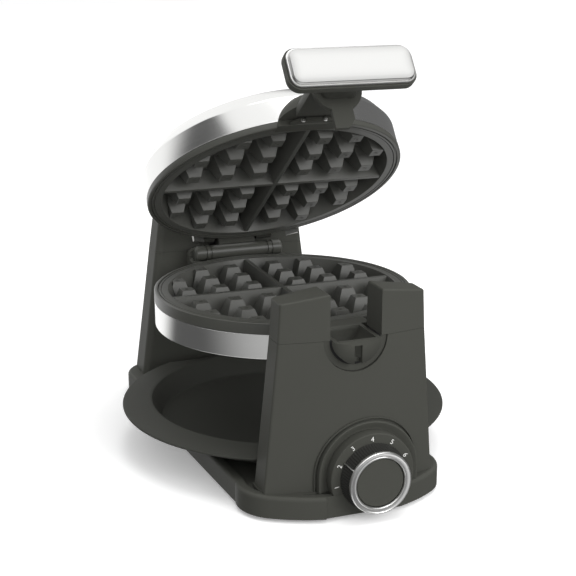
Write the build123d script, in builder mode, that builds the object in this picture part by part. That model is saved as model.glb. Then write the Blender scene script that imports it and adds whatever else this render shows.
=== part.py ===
from build123d import *
import os
from math import acos, atan, degrees, sqrt

os.makedirs("parts", exist_ok=True)

# Millimetres. X to the right, Y to the back, Z up, the origin on the table midway between the towers.
# The plates turn over about an axis along Y, and the lid is drawn shut and then raised on its hinge.

# Clearances
seat_gap = 0.3
line_gap = 0.2
run_gap = 0.08

# Halves: bezel, steel cover and grid plate are round
disc_r = 105.0
half_gap = 0.5

# Turning axis: high enough for the plates to turn over above the table
turn_room = 29.4
axis_z = disc_r + turn_room

# Rings of the halves
bezel_wall = 3.0
bezel_lip = 5.7
bezel_lip_thick = 2.4
steel_thick = 1.0
steel_setback = 0.3
bevel_width = 7.0
bevel_r = disc_r - bevel_width
bevel_rises = {"lower": 3.0, "lid": 10.5}
crown_rise = 2.0
cover_fold = 3.5
lower_bezel_height = 8.9
lower_band_height = 19.8
lid_bezel_height = 4.9
lid_band_height = 19.2

# Grid plate
plate_setback = 0.4
plate_rim_width = 5.5
plate_rim_thick = 3.0
mould_depth = 16.0
mould_slope = 6.0
floor_thick = 3.0
stud_pitches = {"lower": 28.2, "lid": 26.9}
stud_first = 19.3
studs_per_quarter_side = 3
studs_left_out = (2, 2)
stud_top = 10.0
stud_base = 21.0
stud_drop = 0.6
cross_top = 3.6
cross_base = 11.0

# Heater and reflector
heater_inset = 45.0
heater_path_r = disc_r - heater_inset
heater_tube_r = 3.3
heater_opening = 30.0
reflector_inset = 17.0
reflector_r = disc_r - reflector_inset
reflector_thick = 0.8
post_inset = 31.0
post_circle_r = disc_r - post_inset
post_r = 5.0
plate_screw_r = 2.0
plate_screw_head_r = 3.6
plate_screw_head = 2.2
plate_screw_length = 6.0
heater_end_length = 7.0
reflector_dish = 6.0
reflector_lip = 4.0

# Hinge, and how far the lid stands open at rest
hinge_reach = 22.0
hinge_rise = 13.6
hinge_y = disc_r + hinge_reach
hinge_z = axis_z + hinge_rise
lid_open = 36.7
pin_r = 2.5
knuckle_r = 5.6
pin_half_length = 36.0
barrel_reach = 11.0
barrel_rise = 1.6
barrel_y = disc_r + barrel_reach
barrel_z = axis_z + barrel_rise
barrel_r = 6.8
barrel_half_length = 41.0
barrel_groove = 0.7
barrel_groove_width = 0.9
barrel_groove_spots = (-34, -27, 27, 34)

# Front half shafts, which lie in the cradle of the front tower
shaft_r = 18.1
shaft_reach = 50.5
flange_reach = 13.0
shaft_front_y = -disc_r - shaft_reach
shaft_back_y = -disc_r - flange_reach
flange_r = 25.5
key_width = 6.0
key_top_drop = 4.2
key_depth = 6.0
collar_disc_r = 18.8
collar_disc_thick = 3.0
tab_width = 16.0
tab_reach = 32.0

# Handle
handle_width = 95.5
handle_height = 32.2
handle_reach = 88.2
handle_front_y = -disc_r - handle_reach
handle_drop = 1.1
handle_back_depth = 6.8
handle_corner = 9.5
handle_plate_thick = 4.8
handle_plate_inset = 1.2
neck_width = 26.0
neck_height = 18.0
neck_corner = 5.0
handle_screw_x = 7.0
handle_screw_seat = 14.0

# Front bracket of the lid: a round dome on two sloped sides
bracket_reach = 14.0
bracket_front_y = -disc_r - bracket_reach
bracket_depth = 24.0
bracket_foot_half = 29.9
dome_r = 28.0
dome_drop = 3.7
bracket_edge_round = 4.5
bracket_screw_spots = ((-21.2, 4.2), (21.2, 4.2))
bracket_screw_depth = 8.0

# Rear yoke, and the arms and clips of the lid at the hinge
yoke_plate_reach = 17.0
yoke_plate_drop = 13.4
yoke_plate_y = disc_r + yoke_plate_reach
yoke_plate_z = axis_z - yoke_plate_drop
yoke_plate_width = 88.0
yoke_plate_height = 34.0
yoke_plate_thick = 7.0
yoke_plate_corner = 6.0
yoke_back_reach = 24.0
yoke_back_y = disc_r + yoke_back_reach
cheek_x = 40.0
cheek_width = 8.0
cheek_height = 26.0
cheek_drop = 16.4
cheek_overlap = 17.0
cheek_reach = 21.0
cheek_z = axis_z - cheek_drop
cheek_from_y = disc_r - cheek_overlap
cheek_to_y = disc_r + cheek_reach
leaf_width = 34.0
leaf_foot_drop = 4.4
leaf_foot_z = axis_z - leaf_foot_drop
arm_plate_width = 74.0
arm_plate_height = 17.0
arm_plate_rise = 15.6
arm_overlap = 17.0
arm_plate_reach = 3.0
arm_plate_z = axis_z + arm_plate_rise
arm_from_y = disc_r - arm_overlap
arm_plate_to_y = disc_r + arm_plate_reach
arm_x = 27.0
arm_width = 14.0
arm_bottom_rise = 10.0
arm_top_rise = 22.6
arm_bottom_z = axis_z + arm_bottom_rise
arm_top_z = axis_z + arm_top_rise
clip_r = disc_r + 1.4
clip_from_plate = 6.276
clip_angle = degrees(acos((arm_plate_width / 2 + clip_from_plate) / clip_r))
clip_width = 11.0
clip_thick = 2.0
clip_height = 12.0
clip_drop = 2.9
clip_bottom_z = axis_z - clip_drop

# Base
foot_height = 3.0
foot_r = 9.0
foot_stem_r = 4.4
foot_edge_round = 0.8
base_top_z = 20.0
base_wall = 3.0
base_ridge = 7.0
deck_z = 17.0
deck_thick = 3.0
base_front_half = 66.0
base_corner_half = 79.6
base_back_half = 96.5
base_back_corner = 30.0
base_edge_round = 3.0
cover_thick = 2.4
cover_gap = 0.8
cover_screw_head = 1.6
vent_pitch_x = 16.0
vent_pitch_y = 26.0
vent_length = 20.0
vent_width = 3.2
foot_front_x = 66.0
foot_back_x = 78.0
foot_front_y = -disc_r - 7
foot_back_y = disc_r + 35

# Front tower, its cap and the cradle
tower_reach = 46.5
tower_front_y = -disc_r - tower_reach
base_front_reach = 15.5
base_side_setback = 4.5
base_corner_setback = 39.5
base_front_y = tower_front_y - base_front_reach
base_front_side_y = tower_front_y + base_side_setback
base_corner_y = tower_front_y + base_corner_setback
tower_bow_r = 250.0
tower_depth_top = 26.0
tower_depth_foot = 32.0
tower_half_foot = 67.5
tower_half_seam = 57.5
tower_half_top = 55.5
tower_corner = 3.0
tower_front_edge = 2.0
tower_wall = 3.0
tower_floor = 3.0
tower_post_wall = 3.0
tower_post_height = 14.0
tower_screw_bite = 11.0
front_screw_x = 48.0
front_screw_step = 14.0
rear_screw_x = 60.0
rear_screw_step = 16.0
wire_slot_length = 40.0
wire_slot_width = 8.0
rear_wire_slot_width = 6.0
rear_wire_slot_step = 9.0
cap_rise = 34.3
cap_top_z = axis_z + cap_rise
cap_fall = 5.4
slot_half = 20.0
yoke_r = 24.7
yoke_setback = 2.5
saddle_wall = 3.0

# How much deeper a tower is at its seam than at its top, and how far its drawing runs past the top
depth_gain = 1.5
level_spare = 2.0

# Rear tower, its cap and the bearing
rear_reach = 31.5
base_back_reach = 39.0
rear_front_y = disc_r + rear_reach
base_back_y = rear_front_y + base_back_reach
rear_depth_top = 30.0
rear_depth_foot = 33.5
rear_half_foot = 85.0
rear_half_seam = 70.0
rear_half_top = 66.0
rear_corner = 6.0
rear_top_edge = 4.0
rear_cap_rise = 28.6
rear_top_z = axis_z + rear_cap_rise
rear_shaft_r = 13.0
rear_shaft_bore = 9.0
rear_shaft_reach = 53.0
rear_shaft_end_y = disc_r + rear_shaft_reach
rear_bore_share = 0.75
rear_bush_share = 0.55
bearing_wall = 3.0
bearing_flange_r = 21.0
bearing_flange = 2.5

# Terminal block
block_width = 64.0
block_depth = 14.0
block_height = 14.0
block_back_step = 22.0
block_edge = 1.5
block_hole_r = 1.6
block_hole_depth = 6.0
block_pitch_x = 12.0
block_pitch_y = 6.0

# Lead gland
gland_x = -50.0
gland_z = 38.0
gland_r = 6.8
gland_flange_r = 10.0
gland_bore_r = 3.6
gland_length = 12.0
gland_stand_off = 7.0

# Dial
dial_x = 10.0
dial_z = 31.0
dial_arch_r = 41.0
dial_arch_front_r = 38.0
dial_reach = 11.0
dial_front_y = tower_front_y - dial_reach
dial_plate_r = 35.0
dial_plate_hole_r = 12.0
dial_plate_thick = 1.5
dial_recess_half = 37.0
dial_recess_wall = 4.0
dial_recess_depth = 20.0
dial_plate_bottom_z = 4.5
knob_base_r = 27.8
knob_face_r = 24.4
knob_reach = 25.5
knob_front_y = tower_front_y - knob_reach
knob_ring_wall = 4.4
knob_ring_depth = 3.0
spindle_r = 3.0
pointer_angle = 154.0
pointer_width = 1.8
pointer_rise = 0.6
housing_wall = 4.0
housing_front_wall = 3.0
housing_back = 6.0
housing_edge_round = 1.5
thermostat_width = 30.0
thermostat_height = 24.0
thermostat_depth = 14.0
thermostat_corner = 3.0
thermostat_rise = 4.0
holder_width = 46.0
holder_height = 22.0
holder_thick = 1.6
spindle_sink = 7.0
knob_face_sink = 1.2
knob_ring_round = 1.2

# Tray
tray_floor_inset = 2.0
tray_floor_r = disc_r - tray_floor_inset
tray_wall_spread = 5.5
tray_wall_top_r = disc_r + tray_wall_spread
tray_rim_reach = 28.5
tray_rim_r = disc_r + tray_rim_reach
tray_rim_z = 37.5
tray_wall_top_z = 40.0
tray_thick = 2.0
tray_flat_reach = 11.0
tray_flat_y = disc_r + tray_flat_reach

# Fasteners
screw_r = 2.0
screw_head_r = 4.0
screw_head = 2.5
small_screw_r = 1.5
small_screw_head_r = 2.8
small_screw_head = 1.6
small_screw_length = 6.0


def upright(y):
    """A drawing plane that faces the front, with its own y upwards."""
    return Plane(origin=(0, y, 0), x_dir=(1, 0, 0), z_dir=(0, -1, 0))


raise_lid = (
    Pos(0, hinge_y, hinge_z) * Rot(X=-lid_open) * Pos(0, -hinge_y, -hinge_z)
)


# The bow at the front of the base is part of a circle with its middle on the centre line
bow_rise = base_front_side_y - base_front_y
bow_r = (base_front_half**2 + bow_rise**2) / (2 * bow_rise)

# Outline of the base, seen from above: a bowed front, round corners and sides that widen to the back
with BuildSketch() as base_plan:
    with BuildLine():
        bow = ThreePointArc(
            (0, base_front_y),
            (base_front_half / 2, base_front_y + bow_r - sqrt(bow_r**2 - (base_front_half / 2) ** 2)),
            (base_front_half, base_front_side_y),
        )
        shoulder = TangentArc(bow @ 1, (base_corner_half, base_corner_y), tangent=bow % 1)
        side = Line(shoulder @ 1, (base_back_half, base_back_y - base_back_corner))
        rear = TangentArc(side @ 1, (base_back_half - base_back_corner, base_back_y), tangent=side % 1)
        Line(rear @ 1, (0, base_back_y))
        mirror(about=Plane.YZ)
    make_face()


def tower_block(front_y, rows):
    """A tower drawn as a loft through rounded rectangles: rows of (z, half width, depth, corner)."""
    with BuildPart() as block:
        for z, half, depth, corner in rows:
            with BuildSketch(Plane((0, front_y + depth / 2, z))):
                RectangleRounded(2 * half, depth, corner)
        loft(ruled=True)
    return block.part


def tower_rows(levels, z_from, z_to):
    """The rows of a tower between two heights, from its widths at the foot, the seam and the top."""
    rows = []
    for z in (z_from, z_to):
        low, high = (levels[0], levels[1]) if z <= levels[1][0] else (levels[1], levels[2])
        share = (z - low[0]) / (high[0] - low[0])
        rows.append((z,) + tuple(a + share * (b - a) for a, b in zip(low[1:], high[1:])))
    return rows


def shrink(rows, wall):
    """The same rows with a wall taken off all round."""
    return [(z, half - wall, depth - 2 * wall, max(corner - wall, 1.0)) for z, half, depth, corner in rows]


front_levels = [
    (base_top_z, tower_half_foot, tower_depth_foot, tower_corner),
    (axis_z, tower_half_seam, tower_depth_top + depth_gain, tower_corner),
    (cap_top_z + level_spare, tower_half_top, tower_depth_top, tower_corner),
]
rear_levels = [
    (base_top_z, rear_half_foot, rear_depth_foot, rear_corner),
    (axis_z, rear_half_seam, rear_depth_top + depth_gain, rear_corner),
    (rear_top_z + level_spare, rear_half_top, rear_depth_top, rear_corner),
]


def bowed(block, wall=0.0):
    """The front tower's face is bowed: a block of it, cut to a large upright cylinder."""
    with BuildPart() as cut:
        add(block)
        with BuildSketch(Plane.XY):
            with Locations((0, tower_front_y + tower_bow_r)):
                Circle(tower_bow_r - wall)
        extrude(amount=cap_top_z + 10, mode=Mode.INTERSECT)
    return cut.part


# Where the screws of the towers and of the base cover stand
front_tower_screws = [(side * front_screw_x, tower_front_y + front_screw_step) for side in (-1, 1)]
rear_tower_screws = [(side * rear_screw_x, rear_front_y + rear_screw_step) for side in (-1, 1)]
cover_screws = [(-62, 17 - disc_r), (62, 17 - disc_r), (-78, disc_r - 45), (78, disc_r - 45)]
feet = [
    (-foot_front_x, foot_front_y),
    (foot_front_x, foot_front_y),
    (-foot_back_x, foot_back_y),
    (foot_back_x, foot_back_y),
]

# Base shell: outer wall with a raised edge, a sunk deck for the tray, and seats for the two towers
with BuildPart() as base_shell:
    with BuildSketch(Plane.XY.offset(foot_height)):
        add(base_plan.sketch)
    extrude(amount=base_top_z - foot_height)
    fillet(base_shell.faces().sort_by(Axis.Z)[-1].edges(), base_edge_round)
    with BuildSketch(Plane.XY.offset(foot_height)):
        offset(base_plan.sketch, -base_wall - 1)
        with Locations((dial_x, dial_front_y - dial_recess_depth + dial_recess_wall)):
            Rectangle(2 * (dial_recess_half + dial_recess_wall), 2 * dial_recess_depth, mode=Mode.SUBTRACT)
    extrude(amount=deck_z - deck_thick - foot_height, mode=Mode.SUBTRACT)
    with BuildSketch(upright(dial_front_y)):
        with Locations((dial_x, dial_z)):
            Circle(dial_recess_half)
        with Locations((dial_x, dial_z / 2)):
            Rectangle(2 * dial_recess_half, dial_z)
    extrude(amount=dial_recess_depth, mode=Mode.SUBTRACT)
    with BuildSketch(Plane.XY.offset(deck_z)):
        offset(base_plan.sketch, -base_ridge)
        with Locations((0, tower_front_y + tower_depth_foot / 2)):
            Rectangle(2 * tower_half_foot + 2, tower_depth_foot + 1, mode=Mode.SUBTRACT)
        with Locations((0, rear_front_y + rear_depth_foot / 2 + 8)):
            Rectangle(4 * rear_half_foot, rear_depth_foot + 19, mode=Mode.SUBTRACT)
    extrude(amount=base_top_z, mode=Mode.SUBTRACT)
    with BuildSketch(Plane.XY.offset(foot_height + cover_thick)):
        with Locations(*cover_screws):
            Circle(screw_head_r)
        with Locations(*feet):
            Circle(foot_r - 1)
    extrude(amount=deck_z - 1 - foot_height - cover_thick)
    with BuildSketch(Plane.XY.offset(foot_height + cover_thick)):
        with Locations(*cover_screws):
            Circle(screw_r)
    extrude(amount=8, mode=Mode.SUBTRACT)
    with BuildSketch(Plane.XY.offset(foot_height)):
        with Locations(*front_tower_screws, *rear_tower_screws):
            Circle(screw_r + 0.2)
    extrude(amount=base_top_z, mode=Mode.SUBTRACT)
    with BuildSketch(Plane.XY.offset(foot_height)):
        with Locations(*front_tower_screws, *rear_tower_screws):
            Circle(screw_head_r + 0.4)
    extrude(amount=deck_z - deck_thick - foot_height, mode=Mode.SUBTRACT)
    with BuildSketch(Plane.XY.offset(foot_height)):
        with Locations((0, tower_front_y + tower_depth_foot / 2)):
            SlotOverall(wire_slot_length, wire_slot_width)
        with Locations((0, rear_front_y + rear_wire_slot_step)):
            SlotOverall(wire_slot_length, rear_wire_slot_width)
    extrude(amount=base_top_z, mode=Mode.SUBTRACT)
base_shell.part.label = "base_shell"
export_step(base_shell.part, "parts/base_shell.step")

# Bottom cover: a plate inside the wall of the base, with vents and dimples for the feet
with BuildPart() as bottom_cover:
    with BuildSketch(Plane.XY.offset(foot_height)):
        offset(base_plan.sketch, -base_wall - 1 - cover_gap)
        with Locations((dial_x, dial_front_y - dial_recess_depth + dial_recess_wall + cover_gap)):
            Rectangle(
                2 * (dial_recess_half + dial_recess_wall + cover_gap),
                2 * dial_recess_depth,
                mode=Mode.SUBTRACT,
            )
    extrude(amount=cover_thick)
    with BuildSketch(Plane.XY.offset(foot_height)):
        with GridLocations(vent_pitch_x, vent_pitch_y, 7, 4):
            SlotOverall(vent_length, vent_width, rotation=90)
        with Locations(*cover_screws):
            Circle(screw_r + 0.2)
        with Locations(*feet):
            Circle(foot_stem_r + line_gap)
    extrude(amount=cover_thick, mode=Mode.SUBTRACT)
bottom_cover.part.label = "bottom_cover"
export_step(bottom_cover.part, "parts/bottom_cover.step")

# Four rubber feet, each with a stem that goes through the bottom cover
with BuildPart() as rubber_feet:
    with BuildSketch():
        with Locations(*feet):
            Circle(foot_r)
    extrude(amount=foot_height)
    fillet(rubber_feet.faces().group_by(Axis.Z)[0].edges(), foot_edge_round)
    with BuildSketch(Plane.XY.offset(foot_height)):
        with Locations(*feet):
            Circle(foot_stem_r)
    extrude(amount=cover_thick)
rubber_feet.part.label = "rubber_feet"
export_step(rubber_feet.part, "parts/rubber_feet.step")

# Screws that hold the bottom cover
with BuildPart() as cover_screw_set:
    with BuildSketch(Plane.XY.offset(foot_height)):
        with Locations(*cover_screws):
            Circle(screw_head_r)
    extrude(amount=-cover_screw_head)
    with BuildSketch(Plane.XY.offset(foot_height)):
        with Locations(*cover_screws):
            Circle(screw_r)
    extrude(amount=cover_thick + 7)
cover_screw_set.part.label = "cover_screws"
export_step(cover_screw_set.part, "parts/cover_screws.step")

# Screws that hold the two towers from under the deck
with BuildPart() as tower_screws:
    with BuildSketch(Plane.XY.offset(deck_z - deck_thick)):
        with Locations(*front_tower_screws, *rear_tower_screws):
            Circle(screw_head_r)
    extrude(amount=-screw_head)
    with BuildSketch(Plane.XY.offset(deck_z - deck_thick)):
        with Locations(*front_tower_screws, *rear_tower_screws):
            Circle(screw_r)
    extrude(amount=base_top_z - deck_z + deck_thick + 10)
tower_screws.part.label = "tower_screws"
export_step(tower_screws.part, "parts/tower_screws.step")

# Front tower: a tapered shell that stands on the base, with a round saddle at its top for the yoke
front_cavity = bowed(
    tower_block(
        tower_front_y + tower_wall,
        shrink(tower_rows(front_levels, base_top_z + tower_floor, axis_z - 2), tower_wall),
    ),
    tower_wall,
)
with BuildPart() as front_tower:
    add(bowed(tower_block(tower_front_y, tower_rows(front_levels, base_top_z, axis_z))))
    front_corners = front_tower.edges().filter_by(lambda e: abs(e.tangent_at(0.5).Z) > 0.9)
    fillet(front_corners.group_by(Axis.Y)[0], tower_front_edge)
    with BuildPart(mode=Mode.PRIVATE) as front_hollow:
        add(front_cavity)
        with BuildSketch(upright(tower_front_y)):
            with Locations((0, axis_z)):
                Circle(yoke_r + saddle_wall)
        extrude(amount=-2 * tower_depth_foot, mode=Mode.SUBTRACT)
        with BuildSketch(Plane.XY.offset(axis_z - 2 - tower_wall)):
            Rectangle(4 * tower_half_foot, 4 * tower_half_foot)
        extrude(amount=tower_wall * 2, mode=Mode.SUBTRACT)
    add(front_hollow.part, mode=Mode.SUBTRACT)
    with BuildSketch(upright(tower_front_y - 1)):
        with Locations((0, axis_z)):
            Circle(yoke_r + line_gap)
    extrude(amount=-2 * tower_depth_foot, mode=Mode.SUBTRACT)
    with BuildSketch(Plane.XY.offset(base_top_z)):
        with Locations(*front_tower_screws):
            Circle(screw_r + tower_post_wall)
    extrude(amount=tower_post_height)
    with BuildSketch(Plane.XY.offset(base_top_z)):
        with Locations(*front_tower_screws):
            Circle(screw_r)
    extrude(amount=tower_screw_bite, mode=Mode.SUBTRACT)
    with BuildSketch(Plane.XY.offset(base_top_z)):
        with Locations((0, tower_front_y + tower_depth_foot / 2)):
            SlotOverall(wire_slot_length, wire_slot_width)
    extrude(amount=tower_floor, mode=Mode.SUBTRACT)
    with BuildSketch(upright(tower_front_y)):
        with Locations((dial_x, dial_z + thermostat_rise)):
            Rectangle(thermostat_width + 4, thermostat_height + 2)
    extrude(amount=-2 * tower_wall, mode=Mode.SUBTRACT)
front_tower.part.label = "front_tower"
export_step(front_tower.part, "parts/front_tower.step")

# Cap of the front tower: two horns beside the handle slot, joined under the axis by a round yoke
with BuildPart() as front_tower_cap:
    add(bowed(tower_block(tower_front_y, tower_rows(front_levels, axis_z + line_gap, cap_top_z))))
    cap_corners = front_tower_cap.edges().filter_by(lambda e: abs(e.tangent_at(0.5).Z) > 0.9)
    fillet(cap_corners.group_by(Axis.Y)[0], tower_front_edge)
    with BuildSketch(upright(tower_front_y - 1)) as cap_top_cut:
        with BuildLine():
            Polyline(
                (slot_half, cap_top_z),
                (tower_half_seam + 5, cap_top_z - cap_fall * 1.15),
                (tower_half_seam + 5, cap_top_z + 9),
                (slot_half, cap_top_z + 9),
                close=True,
            )
        make_face()
        mirror(about=Plane.YZ)
    extrude(amount=-2 * tower_depth_foot, mode=Mode.SUBTRACT)
    with BuildSketch(upright(tower_front_y + yoke_setback)):
        with Locations((0, axis_z)):
            Circle(yoke_r)
    extrude(amount=-(tower_depth_top - 2 * yoke_setback))
    cap_rows = tower_rows(front_levels, axis_z + line_gap, cap_top_z - cap_fall - tower_wall)
    with BuildPart(mode=Mode.PRIVATE) as cap_hollow:
        add(bowed(tower_block(tower_front_y + tower_wall, shrink(cap_rows, tower_wall)), tower_wall))
        with BuildSketch(upright(tower_front_y)):
            with Locations((0, axis_z + cap_rise)):
                Rectangle(2 * (yoke_r + tower_wall), 2 * cap_rise + slot_half)
        extrude(amount=-2 * tower_depth_foot, mode=Mode.SUBTRACT)
    add(cap_hollow.part, mode=Mode.SUBTRACT)
    with BuildSketch(upright(tower_front_y - 1)):
        with Locations((0, axis_z)):
            Circle(slot_half)
        with Locations((0, axis_z + cap_rise)):
            Rectangle(2 * slot_half, 2 * cap_rise)
    extrude(amount=-2 * tower_depth_foot, mode=Mode.SUBTRACT)
    horn_tops = front_tower_cap.faces().filter_by(lambda f: f.normal_at().Z > 0.97)
    fillet(horn_tops.filter_by(lambda f: f.center().Z > cap_top_z - 10).edges(), 1.2)
front_tower_cap.part.label = "front_tower_cap"
export_step(front_tower_cap.part, "parts/front_tower_cap.step")

# Cradle liner: a half ring of smooth plastic that the half shafts turn in
with BuildPart() as cradle_liner:
    with BuildSketch(upright(tower_front_y + yoke_setback)):
        with Locations((0, axis_z)):
            Circle(slot_half - run_gap)
            Circle(shaft_r + run_gap, mode=Mode.SUBTRACT)
        with Locations((0, axis_z + slot_half)):
            Rectangle(3 * slot_half, 2 * slot_half, mode=Mode.SUBTRACT)
    extrude(amount=-(tower_depth_top - 2 * yoke_setback))
cradle_liner.part.label = "cradle_liner"
export_step(cradle_liner.part, "parts/cradle_liner.step")

# Rear tower: a wider shell with a bore for the bearing and a hole for the lead at its back
rear_bottom_back = rear_front_y + rear_depth_foot
with BuildPart() as rear_tower:
    add(tower_block(rear_front_y, tower_rows(rear_levels, base_top_z, axis_z - line_gap)))
    with BuildPart(mode=Mode.PRIVATE) as rear_hollow:
        add(
            tower_block(
                rear_front_y + tower_wall,
                shrink(tower_rows(rear_levels, base_top_z + tower_floor, axis_z - line_gap), tower_wall),
            )
        )
        with BuildSketch(upright(rear_front_y)):
            with Locations((0, axis_z)):
                Circle(rear_shaft_r + run_gap + bearing_wall + tower_wall)
        extrude(amount=-rear_depth_top * rear_bush_share, mode=Mode.SUBTRACT)
    add(rear_hollow.part, mode=Mode.SUBTRACT)
    with BuildSketch(upright(rear_front_y - 1)):
        with Locations((0, axis_z)):
            Circle(rear_shaft_r + run_gap + bearing_wall)
    extrude(amount=-rear_depth_top * rear_bore_share, mode=Mode.SUBTRACT)
    with BuildSketch(Plane.XY.offset(base_top_z)):
        with Locations(*rear_tower_screws):
            Circle(screw_r + tower_post_wall)
    extrude(amount=tower_post_height)
    with BuildSketch(Plane.XY.offset(base_top_z)):
        with Locations(*rear_tower_screws):
            Circle(screw_r)
    extrude(amount=tower_screw_bite, mode=Mode.SUBTRACT)
    with BuildSketch(Plane.XY.offset(base_top_z)):
        with Locations((0, rear_front_y + rear_wire_slot_step)):
            SlotOverall(wire_slot_length, rear_wire_slot_width)
    extrude(amount=tower_floor, mode=Mode.SUBTRACT)
    with BuildSketch(upright(rear_bottom_back + 1)):
        with Locations((gland_x, gland_z)):
            Circle(gland_r + line_gap)
    extrude(amount=tower_wall + 5, mode=Mode.SUBTRACT)
rear_tower.part.label = "rear_tower"
export_step(rear_tower.part, "parts/rear_tower.step")

# Cap of the rear tower: it closes the shell and holds the bearing down
with BuildPart() as rear_tower_cap:
    add(tower_block(rear_front_y, tower_rows(rear_levels, axis_z, rear_top_z)))
    fillet(rear_tower_cap.faces().sort_by(Axis.Z)[-1].edges(), rear_top_edge)
    with BuildPart(mode=Mode.PRIVATE) as rear_cap_hollow:
        add(
            tower_block(
                rear_front_y + tower_wall,
                shrink(tower_rows(rear_levels, axis_z, rear_top_z - tower_wall), tower_wall),
            )
        )
        with BuildSketch(upright(rear_front_y)):
            with Locations((0, axis_z)):
                Circle(rear_shaft_r + run_gap + bearing_wall + tower_wall)
        extrude(amount=-rear_depth_top * rear_bush_share, mode=Mode.SUBTRACT)
    add(rear_cap_hollow.part, mode=Mode.SUBTRACT)
    with BuildSketch(upright(rear_front_y - 1)):
        with Locations((0, axis_z)):
            Circle(rear_shaft_r + run_gap + bearing_wall)
    extrude(amount=-rear_depth_top * rear_bore_share, mode=Mode.SUBTRACT)
rear_tower_cap.part.label = "rear_tower_cap"
export_step(rear_tower_cap.part, "parts/rear_tower_cap.step")

# Bearing bush of the rear shaft, with a flange on the inner face of the tower
with BuildPart() as rear_bearing:
    with BuildSketch(upright(rear_front_y)):
        with Locations((0, axis_z)):
            Circle(rear_shaft_r + run_gap + bearing_wall)
    extrude(amount=-rear_depth_top * rear_bush_share)
    with BuildSketch(upright(rear_front_y)):
        with Locations((0, axis_z)):
            Circle(bearing_flange_r)
    extrude(amount=bearing_flange)
    with BuildSketch(upright(rear_front_y - 5)):
        with Locations((0, axis_z)):
            Circle(rear_shaft_r + run_gap)
    extrude(amount=-rear_depth_top, mode=Mode.SUBTRACT)
rear_bearing.part.label = "rear_bearing"
export_step(rear_bearing.part, "parts/rear_bearing.step")

# Lead gland at the back of the rear tower
with BuildPart() as lead_gland:
    with BuildSketch(upright(rear_bottom_back + gland_stand_off)):
        with Locations((gland_x, gland_z)):
            Circle(gland_r)
    extrude(amount=gland_length)
    with BuildSketch(upright(rear_bottom_back + gland_stand_off)):
        with Locations((gland_x, gland_z)):
            Circle(gland_flange_r)
    extrude(amount=gland_stand_off)
    with BuildSketch(upright(rear_bottom_back + gland_stand_off)):
        with Locations((gland_x, gland_z)):
            Circle(gland_bore_r)
    extrude(amount=gland_length + 2, mode=Mode.SUBTRACT)
lead_gland.part.label = "lead_gland"
export_step(lead_gland.part, "parts/lead_gland.step")

# Terminal block inside the rear tower, on the deck
with BuildPart() as terminal_block:
    with BuildSketch(Plane((0, rear_front_y + block_back_step, base_top_z + tower_floor))):
        Rectangle(block_width, block_depth)
    extrude(amount=block_height)
    chamfer(terminal_block.edges().group_by(Axis.Z)[-1], block_edge)
    with BuildSketch(Plane((0, rear_front_y + block_back_step, base_top_z + tower_floor + block_height))):
        with GridLocations(block_pitch_x, block_pitch_y, 5, 2):
            Circle(block_hole_r)
    extrude(amount=-block_hole_depth, mode=Mode.SUBTRACT)
terminal_block.part.label = "terminal_block"
export_step(terminal_block.part, "parts/terminal_block.step")

# Dial housing: the arched boss under the dial, hollow for the thermostat, with a back that fits the bow
with BuildPart() as dial_housing:
    with BuildSketch(upright(tower_front_y + housing_back)):
        with Locations((dial_x, dial_z)):
            Circle(dial_arch_r)
    with BuildSketch(upright(dial_front_y)):
        with Locations((dial_x, dial_z)):
            Circle(dial_arch_front_r)
    loft()
    fillet(dial_housing.faces().sort_by(Axis.Y)[0].edges(), housing_edge_round)
    with BuildSketch(upright(tower_front_y + housing_back)):
        with Locations((dial_x, dial_z)):
            Circle(dial_arch_front_r - housing_wall)
    extrude(amount=tower_front_y + housing_back - dial_front_y - housing_front_wall, mode=Mode.SUBTRACT)
    with BuildSketch(upright(dial_front_y)):
        with Locations((dial_x, dial_z)):
            Circle(spindle_r + 4)
    extrude(amount=-5, mode=Mode.SUBTRACT)
    with BuildSketch(Plane.XY.offset(base_top_z)):
        Rectangle(8 * dial_arch_r, 12 * dial_arch_r)
    extrude(amount=-4 * dial_arch_r, mode=Mode.SUBTRACT)
    with BuildSketch(Plane.XY):
        with Locations((0, tower_front_y + tower_bow_r)):
            Circle(tower_bow_r)
    extrude(amount=axis_z, mode=Mode.SUBTRACT)
dial_housing.part.label = "dial_housing"
export_step(dial_housing.part, "parts/dial_housing.step")

# Dial plate that carries the numbers
with BuildPart() as dial_plate:
    with BuildSketch(upright(dial_front_y)):
        with Locations((dial_x, dial_z)):
            Circle(dial_plate_r)
            Circle(dial_plate_hole_r, mode=Mode.SUBTRACT)
    extrude(amount=dial_plate_thick)
    with BuildSketch(Plane.XY.offset(dial_plate_bottom_z)):
        with Locations((dial_x, dial_front_y)):
            Rectangle(4 * dial_plate_r, 20)
    extrude(amount=-4 * dial_plate_r, mode=Mode.SUBTRACT)
dial_plate.part.label = "dial_plate"
export_step(dial_plate.part, "parts/dial_plate.step")

# Thermostat behind the dial, and the bracket that holds it to the housing
thermostat_front_y = dial_front_y + 5
with BuildPart() as thermostat_bracket:
    with BuildSketch(upright(dial_front_y + housing_front_wall)):
        with Locations((dial_x, dial_z + thermostat_rise)):
            Rectangle(holder_width, holder_height)
        with Locations((dial_x, dial_z)):
            Circle(spindle_r + 2, mode=Mode.SUBTRACT)
    extrude(amount=-holder_thick)
thermostat_bracket.part.label = "thermostat_bracket"
export_step(thermostat_bracket.part, "parts/thermostat_bracket.step")

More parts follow.
